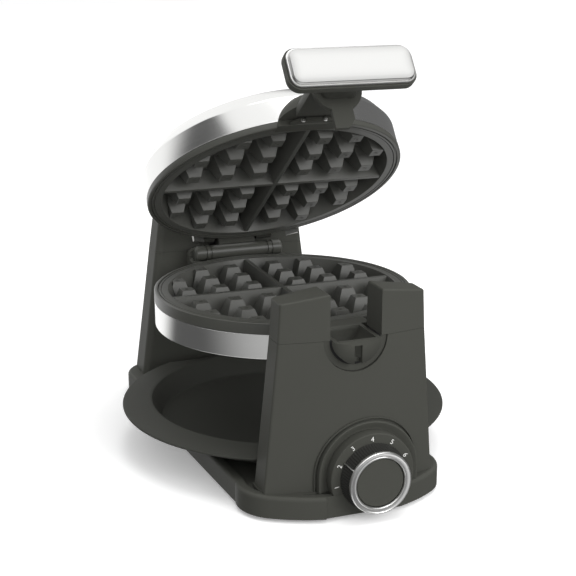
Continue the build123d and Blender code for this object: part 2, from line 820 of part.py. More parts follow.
with BuildPart() as thermostat:
    with BuildSketch(upright(dial_front_y + housing_front_wall + holder_thick + line_gap)):
        with Locations((dial_x, dial_z + thermostat_rise)):
            RectangleRounded(thermostat_width, thermostat_height, thermostat_corner)
    extrude(amount=-thermostat_depth)
    with BuildSketch(upright(dial_front_y)):
        with Locations((dial_x, dial_z)):
            Circle(spindle_r + run_gap)
    extrude(amount=-thermostat_depth, mode=Mode.SUBTRACT)
thermostat.part.label = "thermostat"
export_step(thermostat.part, "parts/thermostat.step")

# Spindle that the knob turns
knob_back_y = dial_front_y - dial_plate_thick - line_gap
with BuildPart() as thermostat_spindle:
    with BuildSketch(upright(thermostat_front_y + spindle_sink)):
        with Locations((dial_x, dial_z)):
            Circle(spindle_r)
    extrude(amount=thermostat_front_y + spindle_sink - knob_back_y + spindle_sink)
thermostat_spindle.part.label = "thermostat_spindle"
export_step(thermostat_spindle.part, "parts/thermostat_spindle.step")

# Knob: a cone with a sunk face, pressed on the spindle
with BuildPart() as knob:
    with BuildSketch(upright(knob_back_y)):
        with Locations((dial_x, dial_z)):
            Circle(knob_base_r)
    with BuildSketch(upright(knob_front_y + knob_ring_depth)):
        with Locations((dial_x, dial_z)):
            Circle(knob_face_r)
    loft()
    with BuildSketch(upright(knob_front_y + knob_ring_depth)):
        with Locations((dial_x, dial_z)):
            Circle(knob_face_r - knob_ring_wall - line_gap)
    extrude(amount=knob_ring_depth - knob_face_sink)
    with BuildSketch(upright(knob_back_y)):
        with Locations((dial_x, dial_z)):
            Circle(spindle_r)
    extrude(amount=spindle_sink, mode=Mode.SUBTRACT)
knob.part.label = "knob"
export_step(knob.part, "parts/knob.step")

# Bright ring on the front of the knob
with BuildPart() as knob_ring:
    with BuildSketch(upright(knob_front_y + knob_ring_depth)):
        with Locations((dial_x, dial_z)):
            Circle(knob_face_r)
            Circle(knob_face_r - knob_ring_wall, mode=Mode.SUBTRACT)
    extrude(amount=knob_ring_depth)
    fillet(knob_ring.faces().sort_by(Axis.Y)[0].edges(), knob_ring_round)
knob_ring.part.label = "knob_ring"
export_step(knob_ring.part, "parts/knob_ring.step")

# Bright pointer that lies on the cone of the knob
cone_y = knob_front_y + knob_ring_depth
cone_tilt = atan((knob_base_r - knob_face_r) / (knob_back_y - cone_y))
with BuildPart() as knob_pointer:
    with BuildSketch(Plane.XZ):
        with BuildLine():
            Polyline(
                (0, 0),
                (knob_back_y - cone_y - 1, 0),
                (knob_back_y - cone_y - 1, pointer_rise),
                (0, pointer_rise),
                close=True,
            )
        make_face()
    extrude(amount=pointer_width / 2, both=True)
pointer_place = (
    Pos(dial_x, cone_y, dial_z)
    * Rot(Y=90 - pointer_angle)
    * Pos(0, 0, knob_face_r + 0.05)
    * Rot(Z=90)
    * Rot(Y=-degrees(cone_tilt))
)
knob_pointer.part.move(pointer_place)
knob_pointer.part.label = "knob_pointer"
export_step(knob_pointer.part, "parts/knob_pointer.step")

# Drip tray: a round bowl with a wide rim, cut flat at the towers so that it slides out sideways
tray_bottom_z = base_top_z + seat_gap
with BuildPart() as drip_tray:
    with BuildSketch(Plane.XZ):
        with BuildLine():
            Polyline(
                (0, tray_bottom_z),
                (tray_floor_r, tray_bottom_z),
                (tray_wall_top_r, tray_wall_top_z - tray_thick),
                (tray_rim_r, tray_rim_z - tray_thick),
                (tray_rim_r, tray_rim_z),
                (tray_wall_top_r, tray_wall_top_z),
                (tray_floor_r - 1.5, tray_bottom_z + tray_thick),
                (0, tray_bottom_z + tray_thick),
                close=True,
            )
        make_face()
    revolve(axis=Axis.Z)
    with BuildSketch():
        for side in (1, -1):
            with Locations((0, side * 2 * tray_flat_y)):
                Rectangle(4 * tray_rim_r, 2 * tray_flat_y)
    extrude(amount=2 * tray_wall_top_z, mode=Mode.SUBTRACT)
drip_tray.part.label = "drip_tray"
export_step(drip_tray.part, "parts/drip_tray.step")

# The two halves are drawn alike: h is the distance from the turning plane, downwards or upwards
half_planes = {
    "lower": Plane(origin=(0, 0, axis_z), x_dir=(1, 0, 0), z_dir=(0, 1, 0)),
    "lid": Plane(origin=(0, 0, axis_z), x_dir=(1, 0, 0), z_dir=(0, -1, 0)),
}
level_planes = {
    "lower": Plane(origin=(0, 0, axis_z), x_dir=(1, 0, 0), z_dir=(0, 0, -1)),
    "lid": Plane(origin=(0, 0, axis_z), x_dir=(1, 0, 0), z_dir=(0, 0, 1)),
}
bezel_ends = {"lower": half_gap + lower_bezel_height, "lid": half_gap + lid_bezel_height}
band_ends = {"lower": bezel_ends["lower"] + lower_band_height, "lid": bezel_ends["lid"] + lid_band_height}
lip_end = half_gap + bezel_lip_thick
rim_h = half_gap + plate_setback
rim_outer_r = disc_r - bezel_lip - seat_gap
rim_inner_r = rim_outer_r - plate_rim_width
floor_r = rim_inner_r - mould_slope
floor_h = rim_h + mould_depth
under_h = floor_h + floor_thick
stud_h = rim_h + stud_drop
skirt_r = disc_r - bezel_wall - 0.5
heater_h = under_h + line_gap + heater_tube_r
reflector_h = heater_h + heater_tube_r + line_gap
steel_r = disc_r - steel_setback
stud_taper = degrees(atan((stud_base - stud_top) / 2 / (floor_h - stud_h)))
fold_r = disc_r - bezel_wall - cover_fold


def finish_half(piece, half, name):
    """Raise the piece with the lid if it belongs there, name it and write its file."""
    if half == "lid":
        piece.part = raise_lid * piece.part
    piece.part.label = name
    export_step(piece.part, "parts/" + name + ".step")


def crown_h(radius):
    """How far the crown stands out at a radius: part of a sphere with its middle on the axis."""
    ball = (bevel_r**2 + crown_rise**2) / (2 * crown_rise)
    return crown_rise - ball + sqrt(ball**2 - radius**2)


def revolved(half, points):
    """A turned solid from (radius, h) points."""
    with BuildPart() as turned:
        with BuildSketch(half_planes[half]):
            with BuildLine():
                Polyline(*points, close=True)
            make_face()
        revolve(axis=Axis.Z)
    return turned.part


def cross_rib(half, plane, base, top):
    """A straight rib across the middle of the plate: wide at the floor of the mould, narrow at its top."""
    side = -1 if half == "lower" else 1
    with BuildPart() as rib:
        with BuildSketch(plane.offset(-disc_r)):
            with BuildLine():
                Polyline(
                    (-base / 2, axis_z + side * floor_h),
                    (base / 2, axis_z + side * floor_h),
                    (top / 2, axis_z + side * stud_h),
                    (-top / 2, axis_z + side * stud_h),
                    close=True,
                )
            make_face()
        extrude(amount=2 * disc_r)
    return rib.part


for half in ("lower", "lid"):
    flat = level_planes[half]
    bezel_end = bezel_ends[half]
    band_end = band_ends[half]

    # Bezel: a dark ring that grips the plate with its lip and wraps the top of the steel cover
    with BuildPart() as bezel:
        add(
            revolved(
                half,
                [
                    (disc_r - bezel_lip, half_gap + 0.4),
                    (disc_r - bezel_wall - 0.4, half_gap + 0.4),
                    (disc_r - bezel_wall, half_gap),
                    (disc_r - 0.6, half_gap),
                    (disc_r, half_gap + 0.6),
                    (disc_r, bezel_end),
                    (disc_r - bezel_wall, bezel_end),
                    (disc_r - bezel_wall, lip_end),
                    (disc_r - bezel_lip, lip_end),
                ],
            )
        )
    finish_half(bezel, half, half + "_bezel")

    # Steel cover: a straight band, a bevel and a slightly crowned end, folded inwards under the bezel
    with BuildPart() as cover:
        crown_from = band_end + bevel_rises[half]
        inner_r = bevel_r - steel_thick / 2
        inner_from = crown_from - steel_thick
        with BuildSketch(half_planes[half]):
            with BuildLine():
                outside = Polyline(
                    (fold_r, bezel_end),
                    (steel_r, bezel_end),
                    (steel_r, band_end),
                    (bevel_r, crown_from),
                )
                ThreePointArc(
                    outside @ 1,
                    (bevel_r / 2, crown_from + crown_h(bevel_r / 2)),
                    (0, crown_from + crown_h(0)),
                )
                Line((0, crown_from + crown_h(0)), (0, inner_from + crown_h(0)))
                ThreePointArc(
                    (0, inner_from + crown_h(0)),
                    (bevel_r / 2, inner_from + crown_h(bevel_r / 2)),
                    (inner_r, inner_from + crown_h(inner_r)),
                )
                Polyline(
                    (inner_r, inner_from + crown_h(inner_r)),
                    (steel_r - steel_thick, band_end - steel_thick * 0.4),
                    (steel_r - steel_thick, bezel_end + steel_thick),
                    (fold_r, bezel_end + steel_thick),
                    (fold_r, bezel_end),
                )
            make_face()
        revolve(axis=Axis.Z)
    finish_half(cover, half, half + "_cover")

    # Grid plate: rim, sloped mould wall, floor, skirt and four posts for the reflector
    with BuildPart() as grid_plate:
        add(
            revolved(
                half,
                [
                    (0, floor_h),
                    (floor_r, floor_h),
                    (rim_inner_r, rim_h),
                    (rim_outer_r, rim_h),
                    (rim_outer_r, lip_end),
                    (skirt_r, lip_end),
                    (skirt_r, bezel_end),
                    (skirt_r - plate_rim_thick, bezel_end),
                    (skirt_r - plate_rim_thick, rim_h + plate_rim_thick),
                    (rim_inner_r + plate_rim_thick, rim_h + plate_rim_thick),
                    (floor_r + plate_rim_thick, under_h),
                    (0, under_h),
                ],
            )
        )
        with BuildSketch(flat.offset(under_h)):
            with PolarLocations(post_circle_r, 4, start_angle=45):
                Circle(post_r)
        extrude(amount=reflector_h - under_h)
        with BuildSketch(flat.offset(reflector_h)):
            with PolarLocations(post_circle_r, 4, start_angle=45):
                Circle(plate_screw_r)
        extrude(amount=-plate_screw_length, mode=Mode.SUBTRACT)
    finish_half(grid_plate, half, half + "_grid_plate")

    # Studs with flat tops in rows, and the cross of ribs between the four quarters of the mould
    pitch = stud_pitches[half]
    steps = range(studs_per_quarter_side)
    stud_spots = [
        (right * (stud_first + i * pitch), back * (stud_first + j * pitch))
        for right in (1, -1)
        for back in (1, -1)
        for i in steps
        for j in steps
        if (i, j) != studs_left_out
    ]
    with BuildPart() as grid_studs:
        rib_room = cross_rib(half, Plane.YZ, cross_base + 2 * line_gap, cross_top + 2 * line_gap)
        add(cross_rib(half, Plane.XZ, cross_base, cross_top))
        add(rib_room, mode=Mode.SUBTRACT)
        add(cross_rib(half, Plane.YZ, cross_base, cross_top))
        with BuildSketch(flat.offset(floor_h)):
            with Locations(*stud_spots):
                Rectangle(stud_base, stud_base)
        extrude(amount=-(floor_h - stud_h), taper=stud_taper)
        add(
            revolved(
                half,
                [(0, rim_h), (rim_inner_r - line_gap, rim_h), (floor_r - line_gap, floor_h), (0, floor_h)],
            ),
            mode=Mode.INTERSECT,
        )
    finish_half(grid_studs, half, half + "_grid_studs")

    # Heater: a bent tube under the floor of the plate, with its two ends led out
    with BuildPart() as heater:
        with BuildLine(flat.offset(heater_h)) as heater_path:
            CenterArc((0, 0), heater_path_r, heater_opening / 2 + 90, 360 - heater_opening)
        with BuildSketch(Plane(heater_path.line @ 0, z_dir=heater_path.line % 0)):
            Circle(heater_tube_r)
        sweep(path=heater_path.line)
        for end in (0, 1):
            with BuildSketch(Plane(heater_path.line @ end, z_dir=flat.z_dir)):
                Circle(heater_tube_r - 0.02)
            extrude(amount=heater_end_length)
    finish_half(heater, half, half + "_heater")

    # Reflector: a thin dish behind the heater, screwed to the posts of the plate
    with BuildPart() as reflector:
        add(
            revolved(
                half,
                [
                    (0, reflector_h),
                    (reflector_r - reflector_dish, reflector_h),
                    (reflector_r, reflector_h - reflector_lip),
                    (reflector_r + reflector_thick, reflector_h - reflector_lip),
                    (reflector_r - reflector_dish + reflector_thick, reflector_h + reflector_thick),
                    (0, reflector_h + reflector_thick),
                ],
            )
        )
        with BuildSketch(flat.offset(reflector_h)):
            with PolarLocations(post_circle_r, 4, start_angle=45):
                Circle(plate_screw_r + 0.2)
            with PolarLocations(
                heater_path_r,
                2,
                start_angle=90 - heater_opening / 2,
                angular_range=heater_opening,
                endpoint=True,
            ):
                Circle(heater_tube_r + 1.2)
        extrude(amount=3, both=True, mode=Mode.SUBTRACT)
    finish_half(reflector, half, half + "_reflector")

    # Screws of the reflector
    with BuildPart() as plate_screws:
        with BuildSketch(flat.offset(reflector_h + reflector_thick)):
            with PolarLocations(post_circle_r, 4, start_angle=45):
                Circle(plate_screw_head_r)
        extrude(amount=plate_screw_head)
        with BuildSketch(flat.offset(reflector_h + reflector_thick)):
            with PolarLocations(post_circle_r, 4, start_angle=45):
                Circle(plate_screw_r)
        extrude(amount=-plate_screw_length)
    finish_half(plate_screws, half, half + "_plate_screws")

lid_body = revolved(
    "lid",
    [
        (0, -1),
        (disc_r, -1),
        (disc_r, band_ends["lid"]),
        (bevel_r + 0.3, band_ends["lid"] + bevel_rises["lid"]),
        (0, band_ends["lid"] + bevel_rises["lid"]),
    ],
)
lower_body = revolved(
    "lower",
    [
        (0, -1),
        (disc_r, -1),
        (disc_r, band_ends["lower"]),
        (bevel_r + 0.3, band_ends["lower"] + bevel_rises["lower"]),
        (0, band_ends["lower"] + bevel_rises["lower"]),
    ],
)

# Lower half shaft: a half round bar with a key notch, on a half round flange that hugs the bezel
trunnion_screw_spots = [(-17, -13.6), (17, -13.6)]
with BuildPart() as lower_trunnion:
    with BuildSketch(upright(shaft_front_y)):
        with Locations((0, axis_z)):
            Circle(shaft_r)
        with Locations((0, axis_z + shaft_r - line_gap)):
            Rectangle(3 * shaft_r, 2 * shaft_r, mode=Mode.SUBTRACT)
    extrude(amount=-(shaft_back_y - shaft_front_y))
    with BuildSketch(upright(shaft_back_y)):
        with Locations((0, axis_z)):
            Circle(flange_r)
        with Locations((0, axis_z + shaft_r - line_gap)):
            Rectangle(3 * shaft_r, 2 * shaft_r, mode=Mode.SUBTRACT)
    extrude(amount=-20)
    with BuildSketch(upright(shaft_front_y)):
        with Locations((0, axis_z - key_top_drop - shaft_r / 2)):
            Rectangle(key_width, shaft_r)
    extrude(amount=-key_depth, mode=Mode.SUBTRACT)
    add(lower_body, mode=Mode.SUBTRACT)
    with BuildSketch(upright(shaft_back_y)):
        with Locations((0, axis_z)):
            with Locations(*trunnion_screw_spots):
                Circle(small_screw_r)
    extrude(amount=-small_screw_length, mode=Mode.SUBTRACT)
finish_half(lower_trunnion, "lower", "lower_trunnion")

# Screws of the flange
with BuildPart() as trunnion_screws:
    with BuildSketch(upright(shaft_back_y)):
        with Locations((0, axis_z)):
            with Locations(*trunnion_screw_spots):
                Circle(small_screw_head_r)
    extrude(amount=small_screw_head)
    with BuildSketch(upright(shaft_back_y)):
        with Locations((0, axis_z)):
            with Locations(*trunnion_screw_spots):
                Circle(small_screw_r)
    extrude(amount=-small_screw_length)
finish_half(trunnion_screws, "lower", "trunnion_screws")

# Rear yoke: two cheeks on the lower half, a back plate, a leaf up to the hinge pin and the hollow rear shaft
with BuildPart() as rear_yoke:
    with BuildSketch(upright(yoke_plate_y)):
        with Locations((0, yoke_plate_z)):
            RectangleRounded(yoke_plate_width, yoke_plate_height, yoke_plate_corner)
    extrude(amount=-yoke_plate_thick)
    for side_x in (-cheek_x, cheek_x):
        with BuildSketch(upright(cheek_from_y)):
            with Locations((side_x, cheek_z)):
                RectangleRounded(cheek_width, cheek_height, 2)
        extrude(amount=cheek_from_y - cheek_to_y)
    with BuildSketch(Plane.YZ.offset(-leaf_width / 2)):
        with BuildLine():
            Polyline(
                (barrel_y - 2, barrel_z),
                (hinge_y - 4.6, hinge_z + 3.2),
                (hinge_y, hinge_z),
                (yoke_back_y, hinge_z),
                (yoke_back_y, leaf_foot_z),
                (yoke_plate_y, leaf_foot_z),
                close=True,
            )
        make_face()
        with Locations((hinge_y, hinge_z)):
            Circle(knuckle_r)
    extrude(amount=leaf_width)
    with BuildSketch(upright(yoke_back_y)):
        with Locations((0, axis_z)):
            Circle(rear_shaft_r)
    extrude(amount=yoke_back_y - rear_shaft_end_y)
    with BuildSketch(upright(yoke_plate_y - 1)):
        with Locations((0, axis_z)):
            Circle(rear_shaft_bore)
    extrude(amount=yoke_plate_y - 2 - rear_shaft_end_y, mode=Mode.SUBTRACT)
    with BuildSketch(Plane.YZ.offset(-disc_r)):
        with Locations((hinge_y, hinge_z)):
            Circle(pin_r)
        with Locations((barrel_y, barrel_z)):
            Circle(barrel_r)
    extrude(amount=2 * disc_r, mode=Mode.SUBTRACT)
    add(lower_body, mode=Mode.SUBTRACT)
finish_half(rear_yoke, "lower", "rear_yoke")

# Hinge barrel: the ribbed cross bar in front of the yoke
with BuildPart() as hinge_barrel:
    with BuildSketch(Plane.YZ.offset(-barrel_half_length)):
        with Locations((barrel_y, barrel_z)):
            Circle(barrel_r)
    extrude(amount=2 * barrel_half_length)
    for groove_x in barrel_groove_spots:
        with BuildSketch(Plane.YZ.offset(groove_x)):
            with Locations((barrel_y, barrel_z)):
                Circle(barrel_r + 1)
                Circle(barrel_r - barrel_groove, mode=Mode.SUBTRACT)
        extrude(amount=barrel_groove_width, mode=Mode.SUBTRACT)
    fillet(hinge_barrel.faces().sort_by(Axis.X)[0].edges(), 1)
    fillet(hinge_barrel.faces().sort_by(Axis.X)[-1].edges(), 1)
finish_half(hinge_barrel, "lower", "hinge_barrel")

# Hinge pin
with BuildPart() as hinge_pin:
    with BuildSketch(Plane.YZ.offset(-pin_half_length)):
        with Locations((hinge_y, hinge_z)):
            Circle(pin_r)
    extrude(amount=2 * pin_half_length)
finish_half(hinge_pin, "lower", "hinge_pin")

# Hinge arms of the lid: a plate round the back of the cover and two arms with knuckles on the pin
with BuildPart() as lid_hinge_arms:
    with BuildSketch(upright(arm_from_y)):
        with Locations((0, arm_plate_z)):
            RectangleRounded(arm_plate_width, arm_plate_height, 3)
    extrude(amount=arm_from_y - arm_plate_to_y)
    for side_x in (-arm_x, arm_x):
        with BuildSketch(Plane.YZ.offset(side_x - arm_width / 2)):
            with BuildLine():
                Polyline(
                    (arm_from_y + 8, arm_bottom_z),
                    (hinge_y, arm_bottom_z),
                    (hinge_y, hinge_z + knuckle_r),
                    (arm_from_y + 8, arm_top_z),
                    close=True,
                )
            make_face()
            with Locations((hinge_y, hinge_z)):
                Circle(knuckle_r)
        extrude(amount=arm_width)
    with BuildSketch(Plane.YZ.offset(-disc_r)):
        with Locations((hinge_y, hinge_z)):
            Circle(pin_r + run_gap)
    extrude(amount=2 * disc_r, mode=Mode.SUBTRACT)
    add(lid_body, mode=Mode.SUBTRACT)
finish_half(lid_hinge_arms, "lid", "lid_hinge_arms")

# Small clips with a screw each, on the back of the lid
with BuildPart() as lid_clips:
    for start_angle in (clip_angle, 180 - clip_angle):
        with BuildSketch(Plane(origin=(0, 0, clip_bottom_z))):
            with PolarLocations(clip_r, 1, start_angle=start_angle):
                Rectangle(clip_thick, clip_width)
        extrude(amount=clip_height)
    add(lid_body, mode=Mode.SUBTRACT)
finish_half(lid_clips, "lid", "lid_clips")

# Front bracket of the lid: a dome on the steel band that the upper half shaft grows out of
dome_side = dome_r * sqrt(3) / 2
dome_shoulder_z = axis_z + dome_r / 2 - dome_drop
bracket_foot_z = axis_z + half_gap
with BuildPart() as lid_bracket:
    with BuildSketch(upright(bracket_front_y)):
        with BuildLine():
            Line((-bracket_foot_half, bracket_foot_z), (-dome_side, dome_shoulder_z))
            ThreePointArc(
                (-dome_side, dome_shoulder_z),
                (0, axis_z + dome_r - dome_drop),
                (dome_side, dome_shoulder_z),
            )
            Polyline(
                (dome_side, dome_shoulder_z),
                (bracket_foot_half, bracket_foot_z),
                (-bracket_foot_half, bracket_foot_z),
            )
        make_face()
    extrude(amount=-bracket_depth)
    dome_edges = lid_bracket.faces().sort_by(Axis.Y)[0].edges()
    fillet(dome_edges.filter_by(lambda e: e.center().Z > axis_z + 1), bracket_edge_round)
    add(lid_body, mode=Mode.SUBTRACT)
    with BuildSketch(upright(bracket_front_y)):
        with Locations((0, axis_z)):
            with Locations(*bracket_screw_spots):
                Circle(small_screw_r)
    extrude(amount=-bracket_screw_depth, mode=Mode.SUBTRACT)
finish_half(lid_bracket, "lid", "lid_bracket")

# Screws of the bracket
with BuildPart() as lid_bracket_screws:
    with BuildSketch(upright(bracket_front_y)):
        with Locations((0, axis_z)):
            with Locations(*bracket_screw_spots):
                Circle(small_screw_head_r)
    extrude(amount=small_screw_head)
    with BuildSketch(upright(bracket_front_y)):
        with Locations((0, axis_z)):
            with Locations(*bracket_screw_spots):
                Circle(small_screw_r)
    extrude(amount=-bracket_screw_depth)
finish_half(lid_bracket_screws, "lid", "lid_bracket_screws")

# Handle neck: the upper half shaft, the collar with its closing tab, and the bar that carries the handle
disc_back_y = shaft_front_y - seat_gap
disc_front_y = disc_back_y - collar_disc_thick
grip_back_y = handle_front_y + handle_plate_thick + handle_back_depth
with BuildPart() as handle_neck:
    with BuildSketch(upright(disc_back_y)):
        with Locations((0, axis_z)):
            Circle(shaft_r - 0.1)
        with Locations((0, axis_z - shaft_r + line_gap)):
            Rectangle(3 * shaft_r, 2 * shaft_r, mode=Mode.SUBTRACT)
    extrude(amount=disc_back_y - bracket_front_y)
    with BuildSketch(upright(disc_back_y)):
        with Locations((0, axis_z)):
            Circle(collar_disc_r)
        with BuildLine():
            Polyline(
                (-tab_width / 2, axis_z),
                (-tab_width / 2, axis_z - tab_reach),
                (tab_width * 0.17, axis_z - tab_reach),
                (tab_width / 2, axis_z - tab_reach + 7),
                (tab_width / 2, axis_z),
                close=True,
            )
        make_face()
    extrude(amount=collar_disc_thick)
    with BuildSketch(upright(disc_front_y)):
        with Locations((0, axis_z)):
            RectangleRounded(neck_width, neck_height, neck_corner)
    extrude(amount=disc_front_y - grip_back_y)
    with BuildSketch(upright(grip_back_y)):
        with Locations((-handle_screw_x, axis_z), (handle_screw_x, axis_z)):
            Circle(screw_r)
    extrude(amount=-handle_screw_seat, mode=Mode.SUBTRACT)
finish_half(handle_neck, "lid", "handle_neck")

# Handle grip, screwed to the neck under its plate
handle_z = axis_z - handle_drop
with BuildPart() as handle_grip:
    with BuildSketch(upright(grip_back_y)):
        with Locations((0, handle_z)):
            RectangleRounded(handle_width, handle_height, handle_corner)
    extrude(amount=handle_back_depth)
    fillet(handle_grip.faces().sort_by(Axis.Y)[-1].edges(), 2.5)
    with BuildSketch(upright(grip_back_y)):
        with Locations((-handle_screw_x, axis_z), (handle_screw_x, axis_z)):
            Circle(screw_r)
    extrude(amount=handle_back_depth, mode=Mode.SUBTRACT)
    with BuildSketch(upright(grip_back_y - handle_back_depth)):
        with Locations((-handle_screw_x, axis_z), (handle_screw_x, axis_z)):
            Circle(screw_head_r)
    extrude(amount=-screw_head - 0.3, mode=Mode.SUBTRACT)
finish_half(handle_grip, "lid", "handle_grip")

# Bright plate on the front of the grip
with BuildPart() as handle_plate:
    with BuildSketch(upright(grip_back_y - handle_back_depth)):
        with Locations((0, handle_z)):
            RectangleRounded(
                handle_width - 2 * handle_plate_inset,
                handle_height - 2 * handle_plate_inset,
                handle_corner - handle_plate_inset,
            )
    extrude(amount=handle_plate_thick)
    fillet(handle_plate.faces().sort_by(Axis.Y)[0].edges(), 1.4)
finish_half(handle_plate, "lid", "handle_plate")

# Screws of the grip, sunk under the bright plate
with BuildPart() as handle_screws:
    head_y = grip_back_y - handle_back_depth + screw_head + 0.3
    with BuildSketch(upright(head_y)):
        with Locations((-handle_screw_x, axis_z), (handle_screw_x, axis_z)):
            Circle(screw_head_r)
    extrude(amount=screw_head)
    with BuildSketch(upright(head_y)):
        with Locations((-handle_screw_x, axis_z), (handle_screw_x, axis_z)):
            Circle(screw_r)
    extrude(amount=head_y - grip_back_y - handle_screw_seat + 2)
finish_half(handle_screws, "lid", "handle_screws")
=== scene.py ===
import math

import bmesh
import bpy
from mathutils import Matrix, Vector


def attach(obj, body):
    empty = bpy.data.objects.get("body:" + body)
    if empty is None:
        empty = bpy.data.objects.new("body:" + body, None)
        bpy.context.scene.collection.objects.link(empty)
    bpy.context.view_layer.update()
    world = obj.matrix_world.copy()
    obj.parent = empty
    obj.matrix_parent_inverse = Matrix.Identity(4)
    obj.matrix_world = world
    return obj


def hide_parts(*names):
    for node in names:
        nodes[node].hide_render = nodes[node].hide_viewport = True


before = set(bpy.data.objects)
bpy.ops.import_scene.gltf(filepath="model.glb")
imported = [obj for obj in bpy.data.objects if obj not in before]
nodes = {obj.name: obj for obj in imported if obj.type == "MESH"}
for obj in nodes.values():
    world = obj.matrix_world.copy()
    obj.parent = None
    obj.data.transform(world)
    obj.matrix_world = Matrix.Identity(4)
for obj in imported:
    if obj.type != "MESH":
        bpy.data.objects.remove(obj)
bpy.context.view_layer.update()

# Base and towers: broad mouldings in dark warm grey plastic with a fine matt grain.
# The towers stand on the base and are screwed to it from below. The same plastic makes
# the bezels, the brackets, the handle and the knob, so its grain is built here once.
MOULD_GREY = (0.059, 0.060, 0.052, 1.0)
CLOUD_SCALE = 22.0
CLOUD_DETAIL = 4.0
GRAIN_DETAIL = 3.0
GRAIN_HEIGHT = 0.00012


def feed(tree, value, socket):
    """Gives a socket a number, or joins it to another node's output."""
    if isinstance(value, (int, float)):
        socket.default_value = value
    else:
        tree.links.new(value, socket)


def blank_group(name, inputs, outputs):
    """A node group with its named sockets, and the nodes that hold them inside it."""
    group = bpy.data.node_groups.new(name, "ShaderNodeTree")
    for title, kind, value in inputs:
        socket = group.interface.new_socket(name=title, in_out="INPUT", socket_type="NodeSocket" + kind)
        socket.default_value = value
    for title, kind in outputs:
        group.interface.new_socket(name=title, in_out="OUTPUT", socket_type="NodeSocket" + kind)
    given = group.nodes.new("NodeGroupInput")
    result = group.nodes.new("NodeGroupOutput")
    return group, given, result


def sums(tree, operation, first, second):
    """One step of arithmetic; each side is a number or another node's output."""
    node = tree.nodes.new("ShaderNodeMath")
    node.operation = operation
    feed(tree, first, node.inputs[0])
    feed(tree, second, node.inputs[1])
    return node.outputs[0]


def noise(tree, place, scale, detail):
    """The level of a noise texture at a place, between 0 and 1."""
    node = tree.nodes.new("ShaderNodeTexNoise")
    node.inputs["Detail"].default_value = detail
    feed(tree, scale, node.inputs["Scale"])
    tree.links.new(place, node.inputs["Vector"])
    return node.outputs["Fac"]


def tinted(tree, colour, level):
    """A colour made lighter or darker by a level round 1."""
    node = tree.nodes.new("ShaderNodeVectorMath")
    node.operation = "SCALE"
    tree.links.new(colour, node.inputs[0])
    tree.links.new(level, node.inputs["Scale"])
    return node.outputs["Vector"]


def fill_outputs(group, given, result, spread, relief, depth, height):
    """Varies a group's colour and roughness by a spread, and turns a relief into its normal."""
    shade = tinted(group, given.outputs["Colour"], sums(group, "ADD", spread, 1.0))
    group.links.new(shade, result.inputs["Colour"])
    group.links.new(sums(group, "ADD", spread, given.outputs["Roughness"]), result.inputs["Roughness"])
    bump = group.nodes.new("ShaderNodeBump")
    bump.inputs["Distance"].default_value = height
    group.links.new(given.outputs[depth], bump.inputs["Strength"])
    group.links.new(relief, bump.inputs["Height"])
    group.links.new(bump.outputs["Normal"], result.inputs["Normal"])


def mould_grain_group():
    """Grain of a moulded or coated surface: fine bumps, and cloudy changes of shade and gloss."""
    group, given, result = blank_group(
        "mould_grain",
        [
            ("Colour", "Color", (0.1, 0.1, 0.1, 1.0)),
            ("Sheen marks", "Float", 0.04),
            ("Roughness", "Float", 0.5),
            ("Grain depth", "Float", 0.1),
            ("Grain fineness", "Float", 900.0),
        ],
        [("Colour", "Color"), ("Roughness", "Float"), ("Normal", "Vector")],
    )
    place = group.nodes.new("ShaderNodeTexCoord").outputs["Object"]
    clouds = sums(group, "SUBTRACT", noise(group, place, CLOUD_SCALE, CLOUD_DETAIL), 0.5)
    spread = sums(group, "MULTIPLY", clouds, given.outputs["Sheen marks"])
    grain = noise(group, place, given.outputs["Grain fineness"], GRAIN_DETAIL)
    fill_outputs(group, given, result, spread, grain, "Grain depth", GRAIN_HEIGHT)
    return group


mould_grain = mould_grain_group()


def effect_material(name, group, values):
    """A material whose colour, roughness and normal come from a shared node group."""
    made = bpy.data.materials.new(name)
    made.use_nodes = True
    surface = made.node_tree.nodes["Principled BSDF"]
    effect = made.node_tree.nodes.new("ShaderNodeGroup")
    effect.node_tree = group
    for title, value in values.items():
        effect.inputs[title].default_value = value
    for source, target in (("Colour", "Base Color"), ("Roughness", "Roughness"), ("Normal", "Normal")):
        made.node_tree.links.new(effect.outputs[source], surface.inputs[target])
    return made, surface


def plastic(name, colour, roughness=0.55, grain=0.22, marks=0.08, gloss=0.14):
    """Moulded plastic or a matt coating, with grain from the mould_grain group."""
    values = {"Colour": colour, "Roughness": roughness, "Grain depth": grain, "Sheen marks": marks}
    made, surface = effect_material(name, mould_grain, values)
    surface.inputs["Specular IOR Level"].default_value = gloss
    return made


def finish_node(material, *names):
    """Gives a material to solids of the part itself."""
    for name in names:
        solid = nodes[name]
        if not solid.material_slots:
            solid.data.materials.append(material)
        for place in solid.material_slots:
            place.material = material


body_plastic = plastic("body_plastic", MOULD_GREY)
finish_node(body_plastic, "base_shell", "front_tower", "front_tower_cap", "rear_tower", "rear_tower_cap")
finish_node(body_plastic, "dial_housing", "lead_gland", "lower_bezel", "lid_bezel", "lower_trunnion")
finish_node(body_plastic, "rear_yoke", "hinge_barrel", "lid_hinge_arms", "lid_bracket", "handle_neck")
finish_node(body_plastic, "handle_grip", "knob")


# Inner parts: the bottom cover, the bushes, the terminal block and the four rubber feet.
# They are black plastic and rubber, held by screws or pressed into place under the base
# and in the towers, and are hardly seen from outside.
inner_plastic = plastic("inner_plastic", (0.02, 0.02, 0.02, 1), roughness=0.5)
finish_node(inner_plastic, "bottom_cover", "cradle_liner", "rear_bearing", "terminal_block")
rubber = plastic("rubber", (0.016, 0.016, 0.016, 1), roughness=0.7, grain=0.3)
finish_node(rubber, "rubber_feet")


